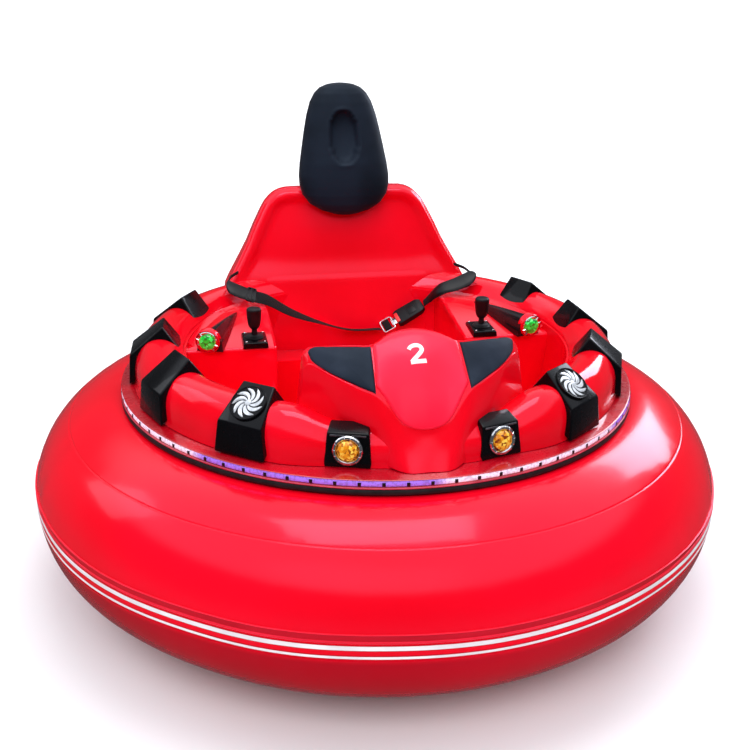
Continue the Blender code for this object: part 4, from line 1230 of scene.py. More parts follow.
# %% Lamp shapes
def facets(radii, heights, sides):
    """A cut-glass lens: rings of flat facets, each ring turned half a step from the one below."""
    floor = -0.001
    bm = bmesh.new()
    rows = [[turned_vert(bm, radii[0], tau * i / sides, floor) for i in range(sides)]]
    for k, (radius, height) in enumerate(zip(radii, heights)):
        rows.append([turned_vert(bm, radius, tau * (i + 0.5 * k) / sides, height) for i in range(sides)])
    tip = bm.verts.new((0, 0, heights[-1] + 0.0008))
    base = bm.verts.new((0, 0, floor))
    for k, (low, high) in enumerate(zip(rows, rows[1:])):
        for i in range(sides):
            j = (i + 1) % sides
            if k == 0:
                bm.faces.new((low[i], low[j], high[j], high[i]))
            else:
                bm.faces.new((low[i], low[j], high[i]))
                bm.faces.new((low[j], high[j], high[i]))
    for i in range(sides):
        bm.faces.new((rows[-1][i], rows[-1][(i + 1) % sides], tip))
        bm.faces.new((rows[0][(i + 1) % sides], rows[0][i], base))
    return bm


BLADE_SECTION = ((1, 0.0003), (0.4, 0.0022), (-1, 0.0010), (-1, -0.0004), (1, -0.0004))


def blade():
    """One curved turbine blade, from the hub out along +X and sweeping round."""
    bm = bmesh.new()
    rows = []
    for k in range(13):
        t = k / 12
        radius = 0.0065 + 0.0345 * t
        turn = 1.05 * t ** 1.25
        belly = sin(pi * min(1.0, t * 0.93)) ** 0.9 * (0.35 + 0.75 * t)
        half = 0.0014 + 0.0068 * belly - 0.0030 * ease(0.86, 1.0, t)
        run = Vector((cos(turn), sin(turn), 0))
        side = Vector((-sin(turn), cos(turn), 0))
        spot = run * radius
        rows.append([bm.verts.new(spot + side * half * share + Vector((0, 0, rise)))
                     for share, rise in BLADE_SECTION])
    for here, there in zip(rows, rows[1:]):
        for i in range(5):
            bm.faces.new((here[i], here[(i + 1) % 5], there[(i + 1) % 5], there[i]))
    bm.faces.new(rows[0])
    bm.faces.new(rows[-1][::-1])
    return bm


# %% Amber, turbine and green lamps
LAMP_SIZE = 0.89
for side, sign in SIDES:
    spot = placed(FRONT_BLOCK, 0, 1, sign * LAMP_TURN, 0.52, 0.0004) @ Matrix.Scale(LAMP_SIZE, 4)
    seat = turned([(0, -0.001), (0.0425, -0.001), (0.0425, 0.0016), (0.0405, 0.0030), (0, 0.0030)], 48)
    settle("amber_seat_" + side, moved(seat, spot), block_gloss, sharp=35)
    rim = turned([(0.0285, 0.0030), (0.0400, 0.0020), (0.0402, 0.0060), (0.0375, 0.0092), (0.0325, 0.0100),
                  (0.0292, 0.0074), (0.0285, 0.0030)], 72)
    settle("amber_bezel_" + side, moved(rim, spot), chrome, sharp=35)
    scallop = hull([(-0.0042, -0.0026, 0.0052), (-0.0042, 0.0026, 0.0052), (0.0028, -0.0040, 0.0040),
                    (0.0028, 0.0040, 0.0040), (-0.0030, 0.0, 0.0122), (0.0022, -0.0016, 0.0098),
                    (0.0022, 0.0016, 0.0098)])
    set_round("amber_scallops_" + side, scallop, 14, 0.0360, chrome, matrix=spot, sharp=5)
    lens = facets([0.0290, 0.0255, 0.0175, 0.0090], [0.0080, 0.0132, 0.0172, 0.0190], 10)
    settle("amber_lens_" + side, moved(lens, spot), amber, stands_for=("amber_lamp_" + side,),
           sharp=4)

    spot = placed(SADDLE, 1, 2, sign * FAN_TURN, 0.5, 0.0004)
    plate = turned([(0, -0.001), (0.0470, -0.001), (0.0472, 0.0050), (0.0455, 0.0072), (0.0436, 0.0070),
                    (0.0424, 0.0048), (0, 0.0044)], 72)
    settle("turbine_plate_" + side, moved(plate, spot), block_gloss,
           stands_for=("turbine_lamp_" + side,), sharp=35)
    set_round("turbine_blades_" + side, blade(), 9, 0.0, blade_silver, start=0.3, sharp=40,
              matrix=spot @ Matrix.Translation((0, 0, 0.0052)))
    hub = turned([(0, 0.0040), (0.0078, 0.0040), (0.0074, 0.0068), (0.0040, 0.0080), (0, 0.0083)], 32)
    settle("turbine_hub_" + side, moved(hub, spot), blade_silver, sharp=35)
print("front lamps are in")

# %% [markdown]
# ## Pod lamps and their housings
#
# Each green lamp looks out of a short red collar at the front of a smoky black nacelle that tapers back
# along the pod. The nacelle is lofted from half-ovals that shrink towards the tip.

# %% Nacelles and green lamps
smoke = Finish("smoky_black_shell", Coat_Weight=0.5, Coat_Roughness=0.05, Coat_IOR=1.4,
               Specular_IOR_Level=0.10)
smoke.tones((0.004, 0.003, 0.004), (0.030, 0.012, 0.014), 18.0, 4.0, (1.0, 0.25, 1.0))
smoke.gloss(30.0, 5.0, 0.12, 0.35)
smoke.grain(38.0, 2.0, 0.08, 0.002)

for side, sign in SIDES:
    front, tip = Vector((sign * 0.472, 0.052, 0.6580)), Vector((sign * 0.378, 0.322, 0.6835))
    run = (tip - front).normalized()
    across = run.cross(Vector((0, 0, 1))).normalized()
    loops = []
    for k in range(25):
        t = k / 24
        width, height = 0.0372 * (1 - t) ** 0.82 + 0.0008, 0.0585 * (1 - t) ** 0.80 + 0.0012
        centre = front + (tip - front) * t
        centre.z = pod_deck(centre.y) + 0.0004
        loop = []
        for i in range(17):
            rise = max(0.0, sin(pi * i / 16)) ** 0.9 * height
            loop.append(centre + across * cos(pi * i / 16) * width + Vector((0, 0, rise)))
        loops.append(loop)
    settle("nacelle_" + side, loft(loops), smoke, stands_for=("lamp_pod_" + side,), sharp=40)

    centre = front + Vector((sign * 0.006, -0.0003, 0.030)) - run * 0.0006
    turn = Vector((0, 0, 1)).rotation_difference(-run).to_matrix().to_4x4()
    spot = Matrix.Translation(centre) @ turn
    hood = turned([(0.0310, -0.016), (0.0358, -0.016), (0.0356, 0.0030), (0.0346, 0.0052), (0.0332, 0.0050),
                   (0.0322, 0.0010), (0.0310, -0.016)], 56)
    settle("lamp_hood_" + side, moved(hood, spot), gelcoat, sharp=45)
    dish = turned([(0, -0.001), (0.0320, -0.001), (0.0320, 0.0035), (0.0295, 0.0062), (0.0250, 0.0050),
                   (0, 0.0050)], 48)
    settle("green_dish_" + side, moved(dish, spot), chrome, sharp=30)
    point = hull([(-0.0050, -0.0030, 0.0040), (-0.0050, 0.0030, 0.0040), (0.0052, 0.0, 0.0060),
                  (-0.0040, 0.0, 0.0092), (-0.0050, 0.0, 0.0040)])
    set_round("green_star_" + side, point, 10, 0.0284, chrome, matrix=spot, sharp=5)
    lens = facets([0.0240, 0.0208, 0.0142, 0.0070], [0.0078, 0.0124, 0.0158, 0.0170], 10)
    settle("green_lens_" + side, moved(lens, spot), green, stands_for=("green_lamp_" + side,),
           sharp=4)
print("pod lamps are in")

# %% [markdown]
# ## Seat back
#
# The back is a tall moulded trapezium with a rolled rim on its sides and top and a shallow hollow inside
# the rim that fades out towards the seat. It is drawn in level rows. How far a point lies from the rim
# decides how far it stands forward, so that roll and hollow follow the outline round both corners.

# %% Seat back
BACK_TOP, BACK_FOOT, BACK_TALL = 1.0047, 0.6830, 0.3217
BACK_OUTLINE = ((BACK_FOOT, 0.400), (0.6997, 0.400), (0.7300, 0.3850), (0.7617, 0.3665), (0.7990, 0.3452),
                (0.8377, 0.3235), (0.8900, 0.2995), (0.9400, 0.2735), (0.9620, 0.2600), (0.9800, 0.2435),
                (0.9920, 0.2270), (1.0000, 0.2080), (1.0037, 0.1880), (BACK_TOP, 0.1500))


def back_half_width(height):
    for (z0, w0), (z1, w1) in zip(BACK_OUTLINE, BACK_OUTLINE[1:]):
        if height <= z1:
            return w0 + (w1 - w0) * (height - z0) / (z1 - z0)
    return BACK_OUTLINE[-1][1]


RIM_LINE = [Vector((w, z)) for z, w in BACK_OUTLINE[1:]] + [Vector((0.0, BACK_TOP))]


def from_rim(x, height):
    """Distance from the side and top outline."""
    spot = Vector((abs(x), height))
    best = 1.0
    for a, b in zip(RIM_LINE, RIM_LINE[1:]):
        run = b - a
        t = min(1.0, max(0.0, (spot - a).dot(run) / run.length_squared))
        best = min(best, (spot - a - run * t).length)
    return best


def front_relief(x, height):
    """How far the front stands behind its plane: a rolled rim, then the hollow."""
    away = from_rim(x, height)
    roll = 0.020 * (1 - ease(0.0, 0.016, away)) ** 1.6
    hollow = 0.013 * ease(0.022, 0.052, away) * ease(0.705, 0.80, height)
    belly = 0.004 * (1 - (x / 0.40) ** 2) * ease(0.05, 0.14, away) * ease(0.72, 0.84, height)
    return roll + hollow - belly


NEAR_TOP = (0.0003, 0.001, 0.002, 0.0035, 0.0055, 0.008, 0.011)
EVEN_ROWS = {round(BACK_FOOT + BACK_TALL * k / 44, 5) for k in range(45)}
ROW_Z = sorted(EVEN_ROWS | {BACK_TOP - drop for drop in NEAR_TOP})
SHARES = [sin(pi / 2 * k / 28) for k in range(-28, 29)]
rows = []
for z in ROW_Z:
    half = back_half_width(z)
    drop = 0.060 + 0.05 * (BACK_TOP - z) / 0.305
    front_row, rear_row = [], []
    for share in SHARES:
        x = half * share
        away = from_rim(x, z)
        front_row.append(Vector((x, back_plane(z), z)) + Vector((0, front_relief(x, z) + 0.0002, 0)))
        rear_row.append(Vector((x, back_plane(z) + drop - 0.018 * (1 - ease(0.0, 0.022, away)) ** 1.5, z)))
    rows.append(front_row + rear_row[::-1])
seat = settle("seat_back_moulding", loft(rows), gelcoat, stands_for=("seat_back",), sharp=60)
print("seat back:", len(seat.data.polygons), "faces")


# %% Lower back rest
def rest_panel():
    """The same moulded face running down into the tub, so that back and bench read as one."""
    low, high, half = 0.505, 0.745, 0.2790
    rows = []
    for k in range(25):
        z = low + (high - low) * k / 24
        front = []
        for share in (-1 + 2 * i / 32 for i in range(33)):
            proud = 0.0014 - front_relief(half * share, z) * ease(0.690, 0.712, z)
            proud -= 0.0030 * ease(0.725, 0.745, z)
            front.append(Vector((half * share, back_plane(z) - proud + 0.0040 * abs(share) ** 30, z)))
        rows.append(front + [Vector((p.x, back_plane(z) + 0.0180, z)) for p in front[::-1]])
    return loft(rows)


settle("seat_back_lower", rest_panel(), gelcoat, sharp=60)

# %% [markdown]
# ## Headrest
#
# The headrest is one soft moulding of black foam with its own skin, taller than it is wide, with an oval
# hollow for the back of the head. It starts as level slices of a cushion, fuller in front than behind. The
# hollow is pressed in afterwards, so its edge stays crisp.

# %% Headrest finish and shape
skin = Finish("black_foam_skin", Sheen_Weight=0.05, Sheen_Roughness=0.45, Specular_IOR_Level=0.25,
              Specular_Tint=(0.60, 0.78, 1.0, 1.0))
skin.tones((0.0022, 0.0036, 0.0078), (0.0060, 0.0092, 0.0180), 6.0)
skin.gloss(34.0, 5.0, 0.46, 0.62)
skin.grain(900.0, 2.0, 0.20, 0.0005)
skin.grain(60.0, 2.0, 0.05, 0.0015)

rest_low, rest_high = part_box("headrest")
REST_TALL = rest_high.z - rest_low.z
REST_HALF_WIDTH, REST_DEPTH = 0.148, 0.066
REST_SHARES = ((0.0, 0.0), (0.012, 0.30), (0.04, 0.55), (0.09, 0.79), (0.16, 0.935), (0.23, 0.990),
               (0.30, 0.997), (0.40, 0.965), (0.52, 0.905), (0.64, 0.843), (0.76, 0.770), (0.86, 0.680),
               (0.925, 0.575), (0.965, 0.455), (0.988, 0.300), (1.0, 0.0))
HOLLOW_Z, HOLLOW_HALF_WIDTH, HOLLOW_HALF_HEIGHT, HOLLOW_DEPTH = 1.167, 0.0465, 0.081, 0.026


def rest_width(t):
    for (t0, w0), (t1, w1) in zip(REST_SHARES, REST_SHARES[1:]):
        if t <= t1:
            k = (t - t0) / (t1 - t0)
            if t0 == 0.0:
                k = sqrt(k)
            if t1 == 1.0:
                k = 1 - sqrt(1 - k)
            return REST_HALF_WIDTH * (w0 + (w1 - w0) * k)
    return 0.0


def rest_loop(t):
    """One level slice of the headrest, a share of the way up it."""
    around = 96
    height = rest_low.z + t * REST_TALL
    half = max(rest_width(t), 0.0004)
    thick = REST_DEPTH * min(1.0, (half / REST_HALF_WIDTH) ** 0.55) * (1 - 0.22 * abs(t - 0.4))
    loop = []
    for i in range(around):
        a = tau * i / around
        c, s = cos(a), sin(a)
        x = half * (abs(c) ** 0.86) * (1 if c > 0 else -1)
        depth, out = -0.004 * abs(s) ** 0.5, 0.0
        if s < 0:
            depth = thick * abs(s) ** 0.80
            oval = hypot(x / HOLLOW_HALF_WIDTH, (height - HOLLOW_Z) / HOLLOW_HALF_HEIGHT)
            bowl = sqrt(max(0.0, 1 - min(1.0, oval) ** 2))
            lip = 0.0020 * max(0.0, 1 - abs(oval - 1.08) / 0.10)
            out = -HOLLOW_DEPTH * bowl ** 0.55 + lip if oval < 1.3 else 0.0
        y = back_plane(height) - 0.0046 - depth - out
        loop.append((x, y, height))
    return loop


REST_T = [0.5 - 0.5 * cos(pi * k / 110) for k in range(111)]
rest = settle("headrest_pad", loft([rest_loop(t) for t in REST_T]), skin,
              stands_for=("headrest",), sharp=None)
print("headrest:", len(rest.data.polygons), "faces,", round(REST_TALL, 3), "m tall")

# %% [markdown]
# ## Lap belt
#
# The belt is flat woven webbing. It lies on the deck behind the sticks and hangs in a shallow curve to its
# buckle. Each half follows the frame's path as a fair curve, with a thin rounded section. The weave reads
# the strip's own width and length, stored on its points, so it bends with the strap.

# %% Webbing finish
webbing = Finish("black_webbing_weave", Roughness=0.72, Sheen_Weight=0.04, Sheen_Roughness=0.4,
                 Specular_IOR_Level=0.25)
along, wide = webbing.attribute("along"), webbing.attribute("wide")
ribs = webbing.math("SINE", webbing.math("MULTIPLY", along, tau / 0.0022))
cords = webbing.math("SINE", webbing.math("MULTIPLY", wide, tau / 0.0030))
weave = webbing.math("MULTIPLY", ribs, cords)
edge_line = webbing.ramp(webbing.math("ABSOLUTE", wide), [(0.0185, 1.0), (0.0205, 0.25), (0.0225, 1.0)])
tone = webbing.ramp(webbing.between(weave, -0.5, 1.5),
                    [(0.0, (0.0018, 0.0019, 0.0028)), (1.0, (0.0080, 0.0085, 0.0115))])
webbing.give("Base Color", webbing.blend(edge_line, (0.004, 0.004, 0.005), tone))
webbing.bump(weave, 0.55, 0.0006)

moulded = Finish("black_moulded_plastic", Specular_IOR_Level=0.28)
moulded.tones((0.0016, 0.0016, 0.0024), (0.0050, 0.0050, 0.0068), 22.0)
moulded.gloss(40.0, 4.0, 0.30, 0.48)
moulded.grain(500.0, 2.0, 0.10, 0.0004)

# %% Straps
BELT_TILT = radians(55)
RIGHT_PATH = [(-0.360, 0.5205, 0.0735), (-0.388, 0.478, 0.068), (-0.395, 0.410, 0.057),
              (-0.355, 0.392, 0.044), (-0.315, 0.388, 0.030), (-0.276, 0.388, 0.017),
              (-0.200, 0.408, -0.034), (-0.107, 0.428, -0.078), (-0.005, 0.440, -0.112),
              (0.098, 0.444, -0.116)]
LEFT_PATH = [(0.2415, 0.443, -0.0345), (0.284, 0.397, 0.0245), (0.340, 0.394, 0.042), (0.395, 0.410, 0.057),
             (0.388, 0.478, 0.068), (0.360, 0.5205, 0.0735)]


def strap_tilt(y):
    return BELT_TILT + (RAKE - BELT_TILT) * max(0.0, min(1.0, (y - 0.42) / 0.09))


def strap_lean(point):
    """The webbing hangs upright at its sleeves and lies down flat on its way to the tongue."""
    if abs(point.x) > 0.27:
        return strap_tilt(point.y)
    return BELT_TILT + radians(46) * ease(-0.30, -0.04, point.x) * (1 - ease(0.11, 0.20, point.x))


def proud_of(run, tilt):
    """The direction across a strap, and the one that leaves it on the rider's side."""
    across = Vector((0, sin(tilt), cos(tilt)))
    proud = run.cross(across).normalized()
    return across, (-proud if proud.y > 0 else proud)


def belt_line(path, steps):
    """A fair line through places whose heights are measured from the tub's rim."""
    return fair_line([(x, y, TUB_RIM + z) for x, y, z in path], steps)


ACROSS_STRAP = [-1 + 2 * k / 10 for k in range(11)]


def strap(name, path, half_at, thickness, finish, stands_for=(), steps=10, cup=0.0016, lift=0.0):
    """A strap along a fair path; half_at(share) is its half width."""
    line = belt_line(path, steps)
    loops, values, length = [], [], 0.0
    for i, point in enumerate(line):
        run = (line[min(i + 1, len(line) - 1)] - line[max(i - 1, 0)]).normalized()
        across, proud = proud_of(run, strap_lean(point))
        length += (point - line[max(i - 1, 0)]).length
        half = half_at(i / (len(line) - 1))
        front, rear = [], []
        for s in ACROSS_STRAP:
            skin = thickness / 2 * (0.45 if abs(s) > 0.99 else 1)
            bulge = cup * (1 - s * s)
            front.append(point + across * half * s + proud * (skin + bulge + lift))
            rear.append(point + across * half * s - proud * (skin - bulge - lift))
        loops.append(front + rear[::-1])
        values += [(length, half * s) for s in ACROSS_STRAP + ACROSS_STRAP[::-1]]
    piece = settle(name, loft(loops), finish, stands_for=stands_for, sharp=50)
    for k, label in enumerate(("along", "wide")):
        layer = piece.data.attributes.new(label, "FLOAT", "POINT")
        layer.data.foreach_set("value", [v[k] for v in values])


def round_end(share):
    """A sleeve whose first end is a half circle."""
    return 0.0262 * sqrt(max(0.02, 1 - max(0.0, 1 - share / 0.22) ** 2)) - 0.003 * ease(0.55, 1.0, share)


WEBBING_HALF, WEBBING_THICK, ANCHOR_WAIST = 0.0235, 0.0026, 0.0185


def gathered(share):
    """Narrows to the buckle, where the webbing is folded."""
    return WEBBING_HALF - 0.0105 * (1 - ease(0.0, 0.24, share)) - ANCHOR_WAIST * ease(0.52, 0.58, share)


def hung(share):
    """A narrow tail from the bolt to the sleeve, then full width, a little narrower at the tongue."""
    return WEBBING_HALF - ANCHOR_WAIST * (1 - ease(0.22, 0.27, share)) - 0.0030 * ease(0.35, 1.0, share)


strap("belt_webbing_right", RIGHT_PATH, hung, WEBBING_THICK, webbing, ("lap_belt_right",))
strap("belt_webbing_left", LEFT_PATH, gathered, WEBBING_THICK, webbing, ("lap_belt_left",))
RIGHT_SLEEVE = [(-0.404, 0.404, 0.0645), (-0.385, 0.398, 0.0570), (-0.355, 0.392, 0.0445),
                (-0.315, 0.388, 0.0305)]
LEFT_SLEEVE = [(0.404, 0.404, 0.0680), (0.372, 0.398, 0.0555), (0.335, 0.394, 0.0410),
               (0.284, 0.397, 0.0248), (0.256, 0.424, -0.0145)]
SLEEVE = {"thickness": 0.0060, "finish": moulded, "steps": 16, "cup": 0.0022, "lift": 0.0006}
strap("belt_sleeve_right", RIGHT_SLEEVE, round_end, **SLEEVE)
strap("belt_sleeve_left", LEFT_SLEEVE, lambda s: round_end(s) - 0.009 * ease(0.4, 1.0, s), **SLEEVE)
print("belt straps are on")


# %% Adjuster, tongue and buckle
def strap_frame(point, run, tilt, lift=0.0):
    """X along the strap, Y across it, Z proud of it."""
    across, proud = proud_of(run, tilt)
    turn = Matrix((run, proud.cross(run), proud)).transposed().to_4x4()
    return Matrix.Translation(point + proud * lift) @ turn


def belt_frame(path, share, lift):
    line = belt_line(path, 20)
    i = min(len(line) - 2, max(1, int(share * (len(line) - 1))))
    return strap_frame(line[i], (line[i + 1] - line[i - 1]).normalized(), strap_tilt(line[i].y), lift)


def bar_frame(a, b):
    """The frame in the middle of a stiff piece that hangs between two places."""
    return strap_frame((a + b) / 2, (b - a).normalized(), BELT_TILT)


def loop_frame(length, width, bar, thick):
    """A flat rectangular ring with round corners, in its own XY plane."""
    steps, sides = 6, 10
    loops = []
    corners = [(length / 2, width / 2), (-length / 2, width / 2), (-length / 2, -width / 2),
               (length / 2, -width / 2)]
    radius = min(length, width) * 0.16
    for k, (cx, cy) in enumerate(corners):
        inner = Vector((cx - radius * (1 if cx > 0 else -1), cy - radius * (1 if cy > 0 else -1), 0))
        for i in range(steps + 1):
            a = pi / 2 * (k + i / steps)
            out = Vector((cos(a), sin(a), 0))
            centre = inner + out * radius
            turns = [tau * m / sides for m in range(sides)]
            loops.append([centre + out * bar * cos(t) + Vector((0, 0, thick * sin(t))) for t in turns])
    return loft(loops, closed_run=True)


adjuster_place = belt_frame(RIGHT_PATH, 0.41, 0.0030)
adjuster = loop_frame(0.026, 0.052, 0.0030, 0.0034)
settle("belt_adjuster", moved(adjuster, adjuster_place), moulded, sharp=60)
bar = brick((-0.0040, 0.0040), (-0.024, 0.024), (0.0, 0.0045), 0.0014, 2)
settle("belt_adjuster_bar", moved(bar, adjuster_place), moulded, sharp=40)

TONGUE_START, TONGUE_END, BUCKLE_END = (Vector((x, 0.444, TUB_RIM + z)) for x, z in (
    (0.0990, -0.1157), (0.1490, -0.0890), (0.2385, -0.0367)))
spot = bar_frame(TONGUE_START, TONGUE_END)
tongue_ring = moved(loop_frame(0.040, 0.048, 0.0026, 0.0024), spot @ Matrix.Translation((-0.003, 0, 0.001)))
settle("belt_tongue_ring", tongue_ring, chrome, stands_for=("belt_tongue",), sharp=60)
pad = brick((-0.018, 0.006), (-0.0195, 0.0195), (-0.0030, 0.0042), 0.0022, 3)
settle("belt_tongue_fold", moved(pad, spot), webbing, sharp=40)
plate = brick((0.012, 0.034), (-0.013, 0.013), (-0.0012, 0.0012), 0.0006, 2)
settle("belt_tongue_plate", moved(plate, spot), chrome, sharp=40)

spot = bar_frame(TONGUE_END, BUCKLE_END)
half = (BUCKLE_END - TONGUE_END).length / 2
CASE_STATIONS = ((-half + 0.010, 0.0300, -0.0105, 0.0108), (-half + 0.0008, 0.0265, -0.0080, 0.0080),
                 (half - 0.016, 0.0285, -0.0100, 0.0104), (half - 0.0015, 0.0215, -0.0060, 0.0062))
case = hull([(x, y, z) for x, wide, low, high in CASE_STATIONS for y in (-wide, wide) for z in (low, high)],
            0.0036, 4)
settle("belt_buckle_case", moved(case, spot), moulded, stands_for=("belt_buckle",), sharp=35)
button_red = Finish("red_button", Coat_Weight=0.4, Coat_Roughness=0.2, Roughness=0.35)
button_red.tones((0.70, 0.010, 0.012), (0.85, 0.025, 0.020), 40.0)
button = brick((-half + 0.0012, -half + 0.014), (-0.019, 0.019), (0.0040, 0.0118), 0.0022, 3)
settle("belt_buckle_button", moved(button, spot), button_red, sharp=35)
groove = brick((-0.006, 0.022), (-0.017, 0.017), (0.0100, 0.0122), 0.0010, 2)
settle("belt_buckle_panel", moved(groove, spot), moulded, sharp=35)
print("buckle is on")

# %% [markdown]
# ## Joysticks
#
# Each stick stands in a shallow black plate on its pod. The grip is a turned rubber shape: a domed top, a
# nearly straight barrel, and a taper down to a narrow neck. The neck ends in a folded boot that hides the
# pin.

# %% Stick finishes and shapes
grip_rubber = Finish("black_grip_rubber", Specular_IOR_Level=0.35)
grip_rubber.tones((0.0018, 0.0016, 0.0024), (0.0060, 0.0056, 0.0074), 26.0)
grip_rubber.gloss(40.0, 4.0, 0.36, 0.55)
grip_rubber.grain(380.0, 2.0, 0.12, 0.0005)

STICK_X, STICK_Y = 0.341, 0.106
PIN_DROP, PLATE_DROP = 0.007, 0.011
CORNERS = ((-1, -1), (-1, 1), (1, -1), (1, 1))

for side, sign in SIDES:
    base_high, stick_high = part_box("joystick_base_" + side)[1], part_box("joystick_" + side)[1]
    pivot = Vector((sign * STICK_X, STICK_Y, base_high.z - PIN_DROP))
    base_low = pod_deck(STICK_Y) - 0.0002
    base_top = pivot.z - PLATE_DROP
    corners = [(x * 0.0365, y * 0.0515, base_low + y * 0.0515 * POD_SLOPE) for x, y in CORNERS]
    corners += [(x * 0.0345, y * 0.0495, base_top - 0.0018) for x, y in CORNERS]
    corners += [(x * 0.0290, y * 0.0440, base_top + 0.0006) for x, y in CORNERS]
    base = hull([(pivot.x + x, pivot.y + y, z) for x, y, z in corners], 0.0022, 3)
    settle("stick_base_" + side, base, block_gloss, stands_for=("joystick_base_" + side,),
           sharp=30)
    boot = [(0, 0.0004), (0.0262, 0.0004), (0.0268, 0.0022), (0.0240, 0.0034), (0.0252, 0.0048),
            (0.0212, 0.0062), (0.0222, 0.0076), (0.0170, 0.0092), (0.0158, 0.0098), (0, 0.0098)]
    settle("stick_boot_" + side, turned(boot, 48, (pivot.x, pivot.y, base_top)), grip_rubber,
           sharp=50)
    screw = turned([(0, 0.0), (0.0030, 0.0), (0.0030, 0.0010), (0.0022, 0.0018), (0, 0.0019)], 16)
    for k, (x, y) in enumerate(CORNERS):
        spot = Matrix.Translation((pivot.x + x * 0.0262, pivot.y + y * 0.0412, base_top + 0.0004))
        settle("stick_base_screw_%s_%d" % (side, k), moved(screw.copy(), spot), chrome, sharp=35)
    screw.free()
    top = stick_high.z - pivot.z
    outline = [(0, -0.0095), (0.0060, -0.0085), (0.0086, -0.0040), (0.0090, 0.0030), (0.0082, 0.0080),
               (0.0084, 0.0140), (0.0120, 0.0175), (0.0158, 0.0230), (0.0182, 0.0320), (0.0196, 0.0430),
               (0.0208, 0.0550), (0.0214, 0.0670), (0.0214, top - 0.0090), (0.0206, top - 0.0058),
               (0.0180, top - 0.0026), (0.0120, top - 0.0008), (0, top)]
    smooth = [(max(0.0, p.x), p.y) for p in fair_line([(r, h, 0) for r, h in outline], 4)]
    smooth[0], smooth[-1] = outline[0], outline[-1]
    settle("stick_grip_" + side, turned(smooth, 56, pivot), grip_rubber, body="stick_" + side,
           stands_for=("joystick_" + side,), sharp=60)
print("sticks stand", round(stick_high.z, 3), "m high")

# %% [markdown]
# ## Under the tub
#
# The running gear is hidden when the car stands, yet it shows from below. Painted frame steel, zinc plate,
# moulded tyre rubber and battery plastic each get a finish, and the frame's own solids wear them. The tyres
# and rollers are turned again with soft shoulders. Tread blocks, bolts and cooling ribs repeat round a
# circle, so the node tree that placed the lamp scallops places them too, each on the body that carries it.

# %% Running gear finishes
frame_coat = Finish("satin_black_frame", Coat_Weight=0.15, Coat_Roughness=0.35)
frame_coat.tones((0.010, 0.010, 0.012), (0.032, 0.032, 0.036), 14.0, 5.0)
frame_coat.gloss(40.0, 5.0, 0.36, 0.62)
frame_coat.grain(260.0, 3.0, 0.12, 0.0006)

plated = Finish("zinc_plate", Metallic=1.0)
plated.tones((0.42, 0.43, 0.41), (0.70, 0.71, 0.67), 9.0, 4.0)
plated.gloss(60.0, 4.0, 0.26, 0.48)
plated.grain(300.0, 2.0, 0.06, 0.0004)

tread_rubber = Finish("tyre_rubber", Specular_IOR_Level=0.3)
tread_rubber.tones((0.010, 0.010, 0.010), (0.030, 0.029, 0.027), 24.0, 5.0)
tread_rubber.gloss(70.0, 4.0, 0.60, 0.85)
tread_rubber.grain(420.0, 3.0, 0.15, 0.0005)

case_plastic = Finish("battery_case_plastic", Specular_IOR_Level=0.4)
case_plastic.tones((0.020, 0.022, 0.026), (0.045, 0.048, 0.054), 18.0, 4.0)
case_plastic.gloss(50.0, 4.0, 0.42, 0.65)
case_plastic.grain(520.0, 2.0, 0.14, 0.0005)


def dress(finish, *names):
    """Give carried-over solids a finish; their meshes stay as they are."""
    for name in names:
        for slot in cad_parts[name].material_slots:
            slot.material = finish.material


dress(frame_coat, "chassis_frame", "headrest_bracket", "drive_motor_left", "drive_motor_right")
dress(plated, "drive_hub_left", "drive_hub_right", "caster_fork_front", "caster_fork_rear")
dress(case_plastic, "battery_pack")
print("running gear finishes are on")

# %% Drive wheels and motors
AXLE_HEIGHT = 0.100
TREAD_BLOCKS, MOTOR_RIBS, HUB_BOLTS = 26, 28, 5


def bolt_head(radius, height):
    """A hexagon head with a chamfered top on a washer."""
    return turned([(0, 0), (radius * 1.35, 0), (radius * 1.35, height * 0.25), (radius, height * 0.25),
                   (radius, height * 0.8), (radius * 0.85, height), (0, height)], 6)


